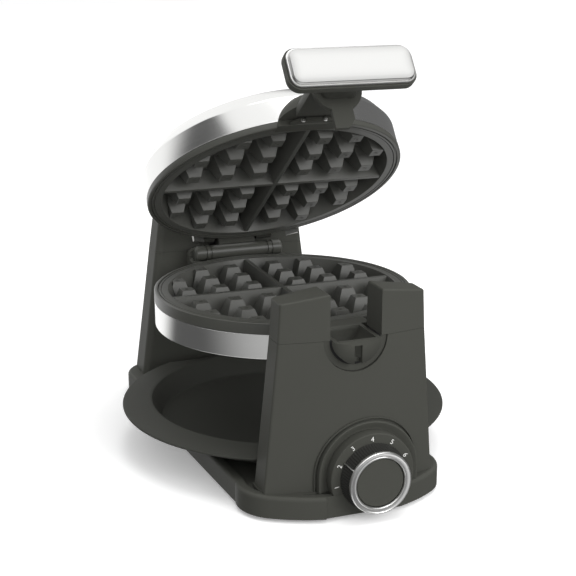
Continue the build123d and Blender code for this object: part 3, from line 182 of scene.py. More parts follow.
# Screws, pin, clips, heaters and reflectors: plated steel, turned, bent or pressed, with
# a faint grain of fine lines. Screws and clips are driven in, and the pin is pressed in.
LINE_DETAIL = 5.0
LINE_HEIGHT = 0.00005


def brushed_group():
    """Fine lines of a brushed metal that run round the height axis, in shade, gloss and relief."""
    group, given, result = blank_group(
        "brushed_lines",
        [
            ("Colour", "Color", (0.6, 0.6, 0.6, 1.0)),
            ("Roughness", "Float", 0.25),
            ("Line contrast", "Float", 0.06),
            ("Line depth", "Float", 0.05),
            ("Line stretch", "Vector", (1.0, 1.0, 1.0)),
            ("Line tilt", "Float", 0.0),
        ],
        [("Colour", "Color"), ("Roughness", "Float"), ("Normal", "Vector")],
    )
    place = group.nodes.new("ShaderNodeTexCoord").outputs["Object"]
    levelled = group.nodes.new("ShaderNodeVectorRotate")
    levelled.rotation_type = "X_AXIS"
    group.links.new(place, levelled.inputs["Vector"])
    group.links.new(given.outputs["Line tilt"], levelled.inputs["Angle"])
    stretched = group.nodes.new("ShaderNodeVectorMath")
    stretched.operation = "MULTIPLY"
    group.links.new(levelled.outputs["Vector"], stretched.inputs[0])
    group.links.new(given.outputs["Line stretch"], stretched.inputs[1])
    lines = noise(group, stretched.outputs["Vector"], scale=1.0, detail=LINE_DETAIL)
    centred = sums(group, "SUBTRACT", lines, 0.5)
    spread = sums(group, "MULTIPLY", centred, given.outputs["Line contrast"])
    fill_outputs(group, given, result, spread, lines, "Line depth", LINE_HEIGHT)
    return group


brushed_lines = brushed_group()


def metal(name, colour, roughness, contrast=0.05, depth=0.04, stretch=(300.0, 300.0, 2500.0), tilt=0.0):
    """Bare or plated metal, with lines from the brushed_lines group."""
    values = {"Colour": colour, "Roughness": roughness, "Line contrast": contrast}
    values.update({"Line depth": depth, "Line stretch": stretch, "Line tilt": tilt})
    made, surface = effect_material(name, brushed_lines, values)
    surface.inputs["Metallic"].default_value = 1.0
    return made


plated = metal("plated", (0.55, 0.55, 0.53, 1), roughness=0.3)
finish_node(plated, "cover_screws", "tower_screws", "lower_plate_screws", "lid_plate_screws")
finish_node(plated, "trunnion_screws", "lid_bracket_screws", "handle_screws", "hinge_pin", "lid_clips")
finish_node(plated, "thermostat_bracket", "thermostat_spindle", "thermostat", "lower_heater")
finish_node(plated, "lid_heater", "lower_reflector", "lid_reflector")


# Drip tray: one pressing of dark coated sheet, a round bowl with a wide rim that is cut
# flat at the towers. It lies loose on the deck of the base.
TRAY_R = 0.1335
TRAY_LIP_R = 0.1322
TRAY_FLAT = 0.1160
TRAY_STEPS = 240
# Pairs of radius and z, from the middle underneath, round the rim, to the middle on top.
TRAY_PROFILE = [
    (0.0, 0.0203), (0.1020, 0.0203), (0.1032, 0.0210), (0.1100, 0.0368), (0.1112, 0.0377),
    (TRAY_LIP_R, 0.0355), (0.1331, 0.0356), (TRAY_R, 0.0361), (TRAY_R, 0.0368), (0.1331, 0.0374),
    (TRAY_LIP_R, 0.0376), (0.1180, 0.0391), (0.1122, 0.0398), (0.1108, 0.0400), (0.1094, 0.0399),
    (0.1082, 0.0390), (0.1024, 0.0248), (0.1015, 0.0232), (0.0998, 0.0224), (0.0975, 0.0223),
    (0.0, 0.0223),
]


def placed(name, data):
    """A new object in the scene with the given mesh, light, camera or text."""
    made = bpy.data.objects.new(name, data)
    bpy.context.scene.collection.objects.link(made)
    return made


def mesh_data(name, made):
    """Turns a bmesh into mesh data and frees it."""
    data = bpy.data.meshes.new(name)
    made.to_mesh(data)
    made.free()
    return data


def show(name, made, material, body, smooth=0.55, replaced=()):
    """Turns a bmesh into a piece with its material and body, smooth where faces meet gently, and hides the
    solids it replaces.
    """
    bmesh.ops.recalc_face_normals(made, faces=made.faces)
    data = mesh_data(name, made)
    for face in data.polygons:
        face.use_smooth = True
    data.set_sharp_from_angle(angle=smooth)
    data.materials.append(material)
    piece = placed(name, data)
    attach(piece, body)
    if replaced:
        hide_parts(*replaced)
    return piece


def circle(radius, steps):
    """Pairs of distances from the middle of a circle, all the way round it."""
    angles = [2 * math.pi * step / steps for step in range(steps)]
    return [(radius * math.cos(angle), radius * math.sin(angle)) for angle in angles]


def skin(made, rows, around=True, first_cap=True, last_cap=True):
    """Joins rows of points with equal counts into a skin; a row of one point is a tip."""
    made_rows = [[made.verts.new(point) for point in row] for row in rows]
    for low, high in zip(made_rows, made_rows[1:]):
        count = max(len(low), len(high))
        for k in range(count if around else count - 1):
            n = (k + 1) % count
            if len(low) == 1 and len(high) > 1:
                made.faces.new((low[0], high[n], high[k]))
            elif len(high) == 1 and len(low) > 1:
                made.faces.new((low[k], low[n], high[0]))
            elif len(low) > 1:
                made.faces.new((low[k], low[n], high[n], high[k]))
    if first_cap and len(made_rows[0]) > 2:
        made.faces.new(list(reversed(made_rows[0])))
    if last_cap and len(made_rows[-1]) > 2:
        made.faces.new(made_rows[-1])


def weld(made):
    """Joins points that lie on each other, where a skin meets itself."""
    bmesh.ops.remove_doubles(made, verts=made.verts, dist=1e-7)


tray_coating = plastic("tray_coating", (0.050, 0.051, 0.045, 1), grain=0.12, gloss=0.06)
finish_node(tray_coating, "drip_tray")
tray = bmesh.new()
tray_rows = []
for radius, z in TRAY_PROFILE:
    if radius == 0.0:
        tray_rows.append([Vector((0, 0, z))])
        continue
    flat = TRAY_FLAT - (TRAY_R - max(radius, TRAY_LIP_R))
    row = []
    for across, along in circle(1.0, TRAY_STEPS):
        out = min(radius, flat / max(abs(along), 1e-6))
        row.append(Vector((out * across, out * along, z)))
    tray_rows.append(row)
skin(tray, tray_rows)
show("tray_dish", tray, tray_coating, "tray", replaced=("drip_tray",))


# The two halves: each has a dark moulded bezel that grips the rim of its grid plate and
# wraps the edge of a brushed steel cover. The lid is the same as the lower half, a
# little shallower, and stands open about the hinge pin at the back.
AXIS_Z = 0.1344
HINGE_Y = 0.127
HINGE_Z = 0.148
LID_OPEN = math.radians(36.7)
RAISED = (
    Matrix.Translation((0, HINGE_Y, HINGE_Z))
    @ Matrix.Rotation(-LID_OPEN, 4, "X")
    @ Matrix.Translation((0, -HINGE_Y, -HINGE_Z))
)
SETTLED = {
    "lower": Matrix.Translation((0, 0, AXIS_Z)) @ Matrix.Scale(-1, 4, (0, 0, 1)),
    "lid": RAISED @ Matrix.Translation((0, 0, AXIS_Z)),
}
HALF_BODY = {"lower": "rotor", "lid": "lid"}
BEZEL_END = {"lower": 0.0094, "lid": 0.0054}
DISC_R = 0.105
TURN_STEPS = 288


def turned_half(made, half, profile):
    """Turns a closed (radius, h) profile about the middle of a half; h is the height off the joint."""
    rows = []
    for radius, h in profile:
        if radius == 0.0:
            rows.append([SETTLED[half] @ Vector((0, 0, h))])
        else:
            rows.append([SETTLED[half] @ Vector((x, y, h)) for x, y in circle(radius, TURN_STEPS)])
    if profile[0][0] > 0.0:
        rows.append(rows[0])
    skin(made, rows, first_cap=False, last_cap=False)
    weld(made)


bezel_plastic = plastic("bezel_plastic", MOULD_GREY, roughness=0.36, grain=0.1, marks=0.06, gloss=0.45)
for half, body in HALF_BODY.items():
    end = BEZEL_END[half]
    lip = [(0.0993, 0.0029), (0.0993, 0.0009), (0.0995, 0.0007), (0.1010, 0.0007), (0.1012, 0.0009)]
    groove = [(0.1012, 0.0019), (0.1019, 0.0019), (0.1019, 0.0009), (0.1022, 0.00055)]
    outer = [(0.1036, 0.0005), (0.1044, 0.0007), (0.10485, 0.0012), (DISC_R, 0.0019)]
    back = [(DISC_R, end - 0.0004), (0.1048, end - 0.00005), (0.1045, end), (0.1020, end), (0.1020, 0.0029)]
    bezel = bmesh.new()
    turned_half(bezel, half, lip + groove + outer + back)
    name = half + "_bezel_ring"
    show(name, bezel, bezel_plastic, body, smooth=0.5, replaced=(half + "_bezel",))


# Steel covers: spun from brushed stainless sheet 1 mm thick, with a straight band, a
# bevel and a slightly crowned end. The rim has a fine bead and is folded inwards under
# the bezel, which holds it.
STEEL_GREY = (0.66, 0.66, 0.65, 1)
STEEL_LINES = (60.0, 60.0, 4200.0)
STEEL_TILT = {"lower": 0.0, "lid": LID_OPEN}
BAND_END = {"lower": 0.0292, "lid": 0.0246}
BEVEL_RISE = {"lower": 0.0030, "lid": 0.0105}
STEEL_R = 0.1047
BEVEL_R = 0.098
FOLD_R = 0.0985
CROWN_RISE = 0.002
CROWN_STEPS = 8
SHEET = 0.0010
BEAD = 0.00025
EDGE_R = 0.0010
EDGE_STEPS = 3


def rounded(corners, radius):
    """A (radius, h) outline with each inner corner cut to a small arc."""
    points = [corners[0]]
    for before, corner, after in zip(corners, corners[1:], corners[2:]):
        corner_at = Vector(corner)
        start = corner_at + (Vector(before) - corner_at).normalized() * radius
        end = corner_at + (Vector(after) - corner_at).normalized() * radius
        for step in range(EDGE_STEPS + 1):
            share = step / EDGE_STEPS
            arc = start * (1 - share) ** 2 + corner_at * 2 * share * (1 - share) + end * share**2
            points.append(tuple(arc))
    points.append(corners[-1])
    return points


for half, body in HALF_BODY.items():
    start, band, top = BEZEL_END[half], BAND_END[half], BAND_END[half] + BEVEL_RISE[half]
    bead = [(FOLD_R, start), (STEEL_R - BEAD, start), (STEEL_R + BEAD, start + BEAD)]
    bead += [(STEEL_R + BEAD, start + 3 * BEAD), (STEEL_R, start + 4 * BEAD)]
    corners = [(STEEL_R, start + 5 * BEAD), (STEEL_R, band), (BEVEL_R, top), (0.0, top + CROWN_RISE)]
    outside = bead + rounded(corners, EDGE_R)
    crown = []
    for step in range(1, CROWN_STEPS):
        share = step / CROWN_STEPS
        crown.append((BEVEL_R * (1 - share), top + CROWN_RISE * (1 - (1 - share) ** 2)))
    inside = [(0.0, top + CROWN_RISE - SHEET), (BEVEL_R - SHEET / 2, top - SHEET)]
    inside += [(STEEL_R - SHEET, band - 0.0004), (STEEL_R - SHEET, start + SHEET), (FOLD_R, start + SHEET)]
    shell = bmesh.new()
    turned_half(shell, half, outside[:-1] + crown + [outside[-1]] + inside)
    steel = metal(
        half + "_steel", STEEL_GREY, roughness=0.17, contrast=0.09, depth=0.05,
        stretch=STEEL_LINES, tilt=STEEL_TILT[half],
    )
    show(half + "_cover_shell", shell, steel, body, smooth=0.5, replaced=(half + "_cover",))


# Grid plates: castings of aluminium with a dark non-stick coating. The rows of studs and
# the cross of ribs make the pockets; a round mark of the casting pins is on each stud.
FLAT_ANGLE = 0.01
SHARP_ANGLE = 0.5
EDGE_ROUND = 0.0004
STUDS_A_SIDE = 3
STUD_FIRST = 0.0193
STUD_PITCH = {"lower": 0.0282, "lid": 0.0269}
STUD_H = 0.0015
MARK_STEPS = 20
# Pairs of radius and rise over the top of the stud.
MARK = [(0.0019, 0.0003), (0.0019, -0.00016), (0.0016, -0.00022), (0.0012, -0.00004), (0.0008, 0.0)]


def eased_copy(name, material, body, node):
    """A solid's own mesh with its sharp edges eased, shown in place of the solid."""
    made = bmesh.new()
    made.from_mesh(nodes[node].data)
    made.transform(nodes[node].matrix_world)
    bmesh.ops.remove_doubles(made, verts=made.verts, dist=1e-6)
    bmesh.ops.dissolve_limit(made, angle_limit=FLAT_ANGLE, verts=made.verts, edges=made.edges)
    sharp = [edge for edge in made.edges if edge.is_manifold and edge.calc_face_angle(0.0) > SHARP_ANGLE]
    bmesh.ops.bevel(
        made, geom=sharp, offset=EDGE_ROUND, segments=2, profile=0.6, affect="EDGES", clamp_overlap=True
    )
    piece = show(name, made, material, body, smooth=0.6, replaced=(node,))
    piece.modifiers.new("flat faces", "WEIGHTED_NORMAL").keep_sharp = True


def stud_places(half):
    """Middles of the studs: three rows of three in each quarter, less the one past the rim."""
    reaches = [STUD_FIRST + number * STUD_PITCH[half] for number in range(STUDS_A_SIDE)]
    places = []
    for side_x, side_y in ((1, 1), (1, -1), (-1, 1), (-1, -1)):
        for x in reaches:
            for y in reaches:
                if x + y < 2 * reaches[-1]:
                    places.append((side_x * x, side_y * y))
    return places


coating = plastic("coating", (0.080, 0.081, 0.073, 1), roughness=0.36, grain=0.10, marks=0.06, gloss=0.32)
for half, body in HALF_BODY.items():
    for part in ("plate", "studs"):
        node = half + "_grid_" + part
        finish_node(coating, node)
        eased_copy(half + "_cast_" + part, coating, body, node)
    marks = bmesh.new()
    for x, y in stud_places(half):
        rows = []
        for radius, rise in MARK:
            ring = circle(radius, MARK_STEPS)
            rows.append([SETTLED[half] @ Vector((x + dx, y + dy, STUD_H + rise)) for dx, dy in ring])
        skin(marks, rows)
    show(half + "_stud_marks", marks, coating, body, smooth=0.7)


# Half shaft of the lower half: a moulded trough that turns in the cradle. The handle's own
# half shaft lies on it when the lid is shut, and together they make the round journal.
TROUGH_R = 0.0150
TROUGH_ENDS_Y = (-0.1525, -0.1215)
TROUGH_STEPS = 64
hollow = bmesh.new()
hollow_rows = []
for y in TROUGH_ENDS_Y:
    hollow_rows.append([Vector((x, y, AXIS_Z + up)) for x, up in circle(TROUGH_R, TROUGH_STEPS)])
skin(hollow, hollow_rows)
bmesh.ops.recalc_face_normals(hollow, faces=hollow.faces)
hollow_room = placed("trough_room", mesh_data("trough_room", hollow))
solid_shaft = placed("trough_solid", nodes["lower_trunnion"].data.copy())
solid_shaft.data.transform(nodes["lower_trunnion"].matrix_world)
cut = solid_shaft.modifiers.new("hollow", "BOOLEAN")
cut.operation = "DIFFERENCE"
cut.solver = "EXACT"
cut.object = hollow_room
bpy.context.view_layer.update()
cut_shaft = solid_shaft.evaluated_get(bpy.context.evaluated_depsgraph_get())
trough = bmesh.new()
trough.from_mesh(bpy.data.meshes.new_from_object(cut_shaft))
bpy.data.objects.remove(hollow_room)
bpy.data.objects.remove(solid_shaft)
show(
    "half_shaft_trough", trough, body_plastic, "rotor",
    smooth=0.5, replaced=("lower_trunnion",),
)


# Lid bracket: a moulded dome that holds the half shaft and the handle on the front of the
# lid. It stands on a thin foot plate, held by two screws with low domed heads.
DOME_MIDDLE_H = -0.0037
DOME_STEPS = 40
# Each row is a radius, a y, and the h at which the dome ends on either side.
DOME_ROWS = [
    (0.0280, -0.0950, 0.0005), (0.0280, -0.1039, 0.0005), (0.0280, -0.1040, 0.0052),
    (0.0277, -0.1065, 0.0054), (0.0270, -0.1090, 0.0057), (0.0259, -0.1115, 0.0062),
    (0.0243, -0.1138, 0.0068), (0.0222, -0.1158, 0.0076), (0.0196, -0.1174, 0.0086),
    (0.0165, -0.1185, 0.0096),
]
dome = bmesh.new()
dome_rows = []
for radius, y, foot in DOME_ROWS:
    first = math.asin((foot - DOME_MIDDLE_H) / radius)
    row = []
    for step in range(DOME_STEPS + 1):
        angle = first + (math.pi - 2 * first) * step / DOME_STEPS
        spot = Vector((radius * math.cos(angle), y, DOME_MIDDLE_H + radius * math.sin(angle)))
        row.append(SETTLED["lid"] @ spot)
    dome_rows.append(row)
skin(dome, dome_rows)
show("bracket_dome", dome, body_plastic, "lid", smooth=0.6, replaced=("lid_bracket",))

FOOT_HALF_WIDTH = 0.0190
FOOT_LOWEST = 0.0012
FOOT_OUTLINE = [
    (-FOOT_HALF_WIDTH, FOOT_LOWEST), (-0.0125, 0.0044), (-0.0112, 0.0048),
    (0.0112, 0.0048), (0.0125, 0.0044), (FOOT_HALF_WIDTH, FOOT_LOWEST),
]
# Each step is an inset of the outline and its y.
FOOT_STEPS = [(0.0, -0.1040), (0.0, -0.1073), (0.0003, -0.1077), (0.0007, -0.1078)]
foot_plate = bmesh.new()
foot_rows = []
for inset, y in FOOT_STEPS:
    narrowed = 1 - inset / FOOT_HALF_WIDTH
    row = []
    for x, h in FOOT_OUTLINE:
        row.append(SETTLED["lid"] @ Vector((x * narrowed, y, max(h - inset, FOOT_LOWEST))))
    foot_rows.append(row)
skin(foot_plate, foot_rows)
show("bracket_foot", foot_plate, body_plastic, "lid", smooth=0.4)

HEAD_X = 0.0088
HEAD_Y = -0.1077
HEAD_H = 0.0024
HEAD_R = 0.0019
HEAD_HEIGHT = 0.0009
HEAD_STEPS = 32
# Shares of the head's radius and height, from its seat to the top.
HEAD_PROFILE = [(1.0, 0.0), (1.0, 0.35), (0.93, 0.7), (0.78, 0.93), (0.62, 1.0)]
RECESS_ARMS = 4
RECESS_CORE = 0.16
RECESS_REACH = 0.34
RECESS_RISES = (0.97, 0.45)


def screw_head(made, seat):
    """A low domed head with a cross recess, on a seat whose +Y runs into the work."""
    rows = []
    for share, rise in HEAD_PROFILE:
        ring = circle(HEAD_R * share, HEAD_STEPS)
        rows.append([seat @ Vector((across, -HEAD_HEIGHT * rise, up)) for across, up in ring])
    for rise in RECESS_RISES:
        row = []
        for step, (across, up) in enumerate(circle(HEAD_R, HEAD_STEPS)):
            arm = max(0.0, math.cos(RECESS_ARMS * 2 * math.pi * step / HEAD_STEPS)) ** 0.5
            out = RECESS_CORE + RECESS_REACH * arm
            row.append(seat @ Vector((out * across, -HEAD_HEIGHT * rise, out * up)))
        rows.append(row)
    skin(made, rows)


heads = bmesh.new()
for side in (-HEAD_X, HEAD_X):
    screw_head(heads, SETTLED["lid"] @ Matrix.Translation((side, HEAD_Y, HEAD_H)))
show(
    "bracket_screw_heads", heads, plated, "lid",
    smooth=0.5, replaced=("lid_bracket_screws",),
)


# Hinge: a roller between the knuckles of the rear yoke turns on the steel pin. It is
# moulded in the dark plastic with two grooves near each end.
ROLLER_Y = 0.116
ROLLER_Z = 0.136
ROLLER_STEPS = 48
# Pairs of x and radius, from the end of the roller to its middle.
ROLLER_HALF = [
    (0.0410, 0.0045), (0.0402, 0.0060), (0.0395, 0.0066), (0.0316, 0.0068), (0.0314, 0.0060),
    (0.0304, 0.0060), (0.0302, 0.0068), (0.0272, 0.0068), (0.0270, 0.0060), (0.0260, 0.0060),
    (0.0258, 0.0065),
]
roller = bmesh.new()
roller_rows = []
for x, radius in [(-x, r) for x, r in ROLLER_HALF] + list(reversed(ROLLER_HALF)):
    ring = circle(radius, ROLLER_STEPS)
    roller_rows.append([Vector((x, ROLLER_Y + along, ROLLER_Z + up)) for along, up in ring])
skin(roller, roller_rows)
show("hinge_roller", roller, bezel_plastic, "rotor", smooth=0.5, replaced=("hinge_barrel",))


# Handle: a moulded grip on a neck, faced with a satin silver plate. The plate has a
# rolled edge and a small step inside it, and two screws hold it from the back.
FACE_HALF_WIDTH = 0.04655
FACE_HALF_HEIGHT = 0.0149
FACE_CORNER = 0.0083
FACE_LEAST_CORNER = 0.001
FACE_MIDDLE_Z = 0.1333
CORNER_STEPS = 10
# Each step is an inset of the plate's outline and its y, from the back to the front.
FACE_STEPS = [
    (0.0002, -0.1876), (0.0000, -0.1884), (0.0000, -0.1902), (0.00035, -0.1906), (0.0010, -0.1907),
    (0.0013, -0.1907), (0.0015, -0.1920), (0.0022, -0.1928), (0.0034, -0.1931), (0.0055, -0.1932),
    (0.0080, -0.1933), (0.0110, -0.1933),
]
# From this step on the plate has its satin face, with painted shade that makes it darker where it turns to
# the rim.
FIRST_SATIN_STEP = 7
FACE_PAINTED_SHADE = {7: 0.72, 8: 0.78, 9: 0.91, 10: 0.98}


def satin_metal(name, colour, roughness):
    """Metal with a fine satin finish, almost free of lines."""
    return metal(name, colour, roughness, contrast=0.015, depth=0.01, stretch=(500.0, 500.0, 500.0))


def rounded_frame(inset, y):
    """The outline of the handle plate, drawn in by an inset, at one depth."""
    corner = max(FACE_CORNER - inset, FACE_LEAST_CORNER)
    reach_x = FACE_HALF_WIDTH - inset - corner
    reach_z = FACE_HALF_HEIGHT - inset - corner
    points = []
    for quarter, (side_x, side_z) in enumerate(((1, 1), (-1, 1), (-1, -1), (1, -1))):
        for step in range(CORNER_STEPS + 1):
            angle = math.pi / 2 * (quarter + step / CORNER_STEPS)
            x = side_x * reach_x + corner * math.cos(angle)
            z = FACE_MIDDLE_Z + side_z * reach_z + corner * math.sin(angle)
            points.append(RAISED @ Vector((x, y, z)))
    return points


face = bmesh.new()
skin(face, [rounded_frame(inset, y) for inset, y in FACE_STEPS])
handle_edge = satin_metal("handle_edge", (0.50, 0.50, 0.49, 1), roughness=0.30)
face_piece = show("handle_face", face, handle_edge, "lid", smooth=0.6, replaced=("handle_plate",))

silver_face = plastic(
    "silver_face", (0.57, 0.57, 0.56, 1), roughness=0.34, grain=0.03, marks=0.01, gloss=0.5
)
satin = silver_face.node_tree
# The satin colour is scaled by a level on each point: painted shade towards the rim of the face.
rim = satin.nodes.new("ShaderNodeAttribute")
rim.attribute_name = "painted_rim_shade"
painted_rim_colour = tinted(satin, satin.nodes["Group"].outputs["Colour"], rim.outputs["Fac"])
satin.links.new(painted_rim_colour, satin.nodes["Principled BSDF"].inputs["Base Color"])
face_piece.data.materials.append(silver_face)
step_points = 4 * (CORNER_STEPS + 1)
shade = face_piece.data.attributes.new("painted_rim_shade", "FLOAT", "POINT")
for vertex in face_piece.data.vertices:
    shade.data[vertex.index].value = FACE_PAINTED_SHADE.get(vertex.index // step_points, 1.0)
for polygon in face_piece.data.polygons:
    if polygon.index >= FIRST_SATIN_STEP * step_points:
        polygon.material_index = 1


# Dial housing and dial plate: an arch of dark plastic round the foot of the tower, with
# a sunk ring in which the plate stands. The plate is a thick disc with white figures.
DIAL_X = 0.010
DIAL_Z = 0.031
TOWER_FRONT_Y = -0.1515
TOWER_BOW_R = 0.250
ARCH_FOOT_Z = 0.020
ARCH_BACK_Y = -0.1470
ARCH_STEPS = 96
# Each row is a radius and a depth: an offset from the tower's bowed face, or a y at the front.
ARCH_ROWS = [
    (0.0420, "tower", 0.0015), (0.0420, "tower", -0.0013), (0.0418, "tower", -0.0017),
    (0.0414, "tower", -0.0017), (0.0412, "tower", -0.0013), (0.0412, "tower", 0.0004),
    (0.0397, "tower", 0.0004), (0.0397, "front", -0.1535), (0.0394, "front", -0.1546),
    (0.0388, "front", -0.1550), (0.0380, "front", -0.1549), (0.0350, "front", -0.1531),
    (0.0335, "front", -0.1529), (0.0200, "front", -0.1529), (0.0200, "front", ARCH_BACK_Y),
]


def arch_row(radius, kind, depth):
    """Points up one side, round the top and down the other side; tower depths follow its bowed face."""
    places = [(-radius, ARCH_FOOT_Z - DIAL_Z)]
    for step in range(ARCH_STEPS + 1):
        angle = math.pi * (1 - step / ARCH_STEPS)
        places.append((radius * math.cos(angle), radius * math.sin(angle)))
    places.append((radius, ARCH_FOOT_Z - DIAL_Z))
    points = []
    for across, up in places:
        x = DIAL_X + across
        bow = TOWER_FRONT_Y + TOWER_BOW_R - math.sqrt(TOWER_BOW_R**2 - x**2)
        points.append(Vector((x, depth if kind == "front" else bow + depth, DIAL_Z + up)))
    return points


arch = bmesh.new()
arch_rows = [arch_row(radius, kind, depth) for radius, kind, depth in ARCH_ROWS]
skin(arch, arch_rows + [arch_rows[0]], around=False, first_cap=False, last_cap=False)
weld(arch)
bmesh.ops.holes_fill(arch, edges=arch.edges)
show("dial_arch", arch, body_plastic, "stand", smooth=0.45, replaced=("dial_housing",))

PLATE_FRONT_Y = -0.1622
PLATE_LOWEST_Z = 0.0045
# Pairs of radius and y, as in the profiles of the knob and its ring.
PLATE_PROFILE = [
    (0.0120, -0.1525), (0.0330, -0.1525), (0.0330, -0.1612), (0.0328, -0.1618),
    (0.0323, PLATE_FRONT_Y), (0.0120, PLATE_FRONT_Y),
]
DIAL_STEPS = 160


def turned_dial(profile, lowest=-1.0):
    """Rows of points turned about the dial's axis from (radius, y) pairs, cut flat below."""
    rows = []
    for radius, y in profile:
        ring = circle(radius, DIAL_STEPS)
        rows.append([Vector((DIAL_X + across, y, max(DIAL_Z + up, lowest))) for across, up in ring])
    return rows


def closed_ring(made, rows):
    """Skins a ring whose last row meets its first."""
    skin(made, rows + [rows[0]], first_cap=False, last_cap=False)
    weld(made)


dial_print = plastic("dial_print", MOULD_GREY)
plate = bmesh.new()
closed_ring(plate, turned_dial(PLATE_PROFILE, PLATE_LOWEST_Z))
show("dial_disc", plate, dial_print, "stand", smooth=0.45, replaced=("dial_plate",))

NUMBER_R = 0.0286
NUMBER_SIZE = 0.0053
NUMBER_RELIEF = 0.00004
NUMBER_PROUD = 0.00005
NUMBER_ANGLES = (222.0, 189.4, 156.8, 124.2, 91.6, 59.0, 26.4)
number_white = plastic("number_white", (0.80, 0.80, 0.78, 1), roughness=0.5, grain=0.05, marks=0.02)
for number, angle in enumerate(NUMBER_ANGLES):
    text = bpy.data.curves.new("number", "FONT")
    text.body = str(number)
    text.size = NUMBER_SIZE
    text.align_x = "CENTER"
    text.align_y = "CENTER"
    text.extrude = NUMBER_RELIEF
    drawn = placed("number", text)
    bpy.context.view_layer.update()
    flat = bpy.data.meshes.new_from_object(drawn)
    bpy.data.objects.remove(drawn)
    across = NUMBER_R * math.cos(math.radians(angle))
    up = NUMBER_R * math.sin(math.radians(angle))
    spot = Vector((DIAL_X + across, PLATE_FRONT_Y - NUMBER_PROUD, DIAL_Z + up))
    turn = Matrix.Rotation(math.radians(90 - angle), 4, "Y") @ Matrix.Rotation(math.radians(90), 4, "X")
    flat.transform(Matrix.Translation(spot) @ turn)
    flat.materials.append(number_white)
    digit = placed("dial_number_%d" % number, flat)
    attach(digit, "stand")


# Knob: a ribbed cone in the same dark plastic with a sunk flat face, pressed on the
# spindle of the thermostat. A bright satin ring is let into its front.
RIBS = 76
RIB_DEPTH = 0.0005
RIB_STEPS = RIBS * 8
RIBBED_ROWS = (5, 6)
KNOB_FACE_R = 0.0186
KNOB_SIDE_END_Y = -0.1745
KNOB_PROFILE = [
    (0.0120, -0.1645), (0.0250, -0.1645), (0.0254, -0.1625), (0.0258, -0.1624), (0.0259, -0.1630),
    (0.0256, -0.1642), (0.0241, -0.1732), (0.0238, -0.1740), (0.0190, -0.1740), (0.0187, -0.1737),
    (KNOB_FACE_R, -0.1748), (0.0180, -0.1754), (0.0100, -0.1756),
]
RING_PROFILE = [
    (0.0191, -0.1741), (0.0240, -0.1741), (0.0241, -0.1750), (0.0239, -0.1765), (0.0235, -0.1770),
    (0.0229, -0.1770), (0.0225, -0.1767), (0.0206, -0.1766), (0.0202, -0.1769), (0.0196, -0.1769),
    (0.0191, -0.1764), (0.0188, -0.1750),
]
knob = bmesh.new()
knob_rows = []
for number, (radius, y) in enumerate(KNOB_PROFILE):
    row = []
    for step, (across, up) in enumerate(circle(1.0, RIB_STEPS)):
        groove = 0.5 - 0.5 * math.cos(RIBS * 2 * math.pi * step / RIB_STEPS)
        out = radius - RIB_DEPTH * groove if number in RIBBED_ROWS else radius
        row.append(Vector((DIAL_X + out * across, y, DIAL_Z + out * up)))
    knob_rows.append(row)
skin(knob, knob_rows)
knob_piece = show("knob_body", knob, body_plastic, "dial", smooth=0.5, replaced=("knob",))
# The ribbed side of the cone and its foot take a darker copy of the same plastic: painted shade on the side
# of the knob.
knob_side_painted_shade = plastic("knob_side_painted_shade", (0.026, 0.026, 0.024, 1), roughness=0.45, grain=0.1)
knob_piece.data.materials.append(knob_side_painted_shade)
for polygon in knob_piece.data.polygons:
    spot = polygon.center
    if math.hypot(spot.x - DIAL_X, spot.z - DIAL_Z) > KNOB_FACE_R and spot.y > KNOB_SIDE_END_Y:
        polygon.material_index = 1

silver = satin_metal("silver", (0.80, 0.80, 0.79, 1), roughness=0.32)
ring = bmesh.new()
closed_ring(ring, turned_dial(RING_PROFILE))
show("knob_bright_ring", ring, silver, "dial", smooth=0.6, replaced=("knob_ring",))

POINTER_ANGLE = math.radians(149.5)
POINTER_HALF = 0.00055
POINTER_TAPER = 0.6
POINTER_PROUD = 0.0008
POINTER_SUNK = 0.0012
POINTER_LINE = ((0.0262, -0.1634), (0.0258, -0.1650), (0.0244, -0.1730), (0.0240, -0.1742))
out = Vector((math.cos(POINTER_ANGLE), 0, math.sin(POINTER_ANGLE)))
across = Vector((-out.z, 0, out.x)) * POINTER_HALF
pointer = bmesh.new()
pointer_rows = []
for radius, y in POINTER_LINE:
    middle = Vector((DIAL_X, y, DIAL_Z)) + out * radius
    low, high = middle - out * POINTER_SUNK, middle + out * POINTER_PROUD
    narrow = across * POINTER_TAPER
    pointer_rows.append([low - across, high - narrow, high + narrow, low + across])
skin(pointer, pointer_rows)
show("knob_mark", pointer, silver, "dial", smooth=0.5, replaced=("knob_pointer",))


# Studio: a plain pale sheet on the floor, and two soft boxes above and in front. The sheet
# is bright to the camera, dim in the light that it sends back, and not mirrored at all.
FLOOR_HALF = 6.0
SHEET_WHITE = {
    "Base Color": (0.98, 0.98, 0.98, 1),
    "Roughness": 0.9,
    "Specular IOR Level": 0.1,
    "Emission Color": (1, 1, 1, 1),
    "Emission Strength": 0.22,
}
floor_mesh = bmesh.new()
bmesh.ops.create_grid(floor_mesh, x_segments=2, y_segments=2, size=FLOOR_HALF)
floor = placed("floor", mesh_data("floor", floor_mesh))
pale = bpy.data.materials.new("pale_sheet")
pale.use_nodes = True
sheet = pale.node_tree
bright = sheet.nodes["Principled BSDF"]
for title, value in SHEET_WHITE.items():
    bright.inputs[title].default_value = value
clear = sheet.nodes.new("ShaderNodeBsdfTransparent")
dim = sheet.nodes.new("ShaderNodeBsdfDiffuse")
dim.inputs["Color"].default_value = (0.30, 0.30, 0.30, 1)
seen = sheet.nodes.new("ShaderNodeMixShader")
either = sheet.nodes.new("ShaderNodeMixShader")
ray_kind = sheet.nodes.new("ShaderNodeLightPath")
sheet.links.new(ray_kind.outputs["Is Camera Ray"], seen.inputs[0])
sheet.links.new(dim.outputs[0], seen.inputs[1])
sheet.links.new(bright.outputs[0], seen.inputs[2])
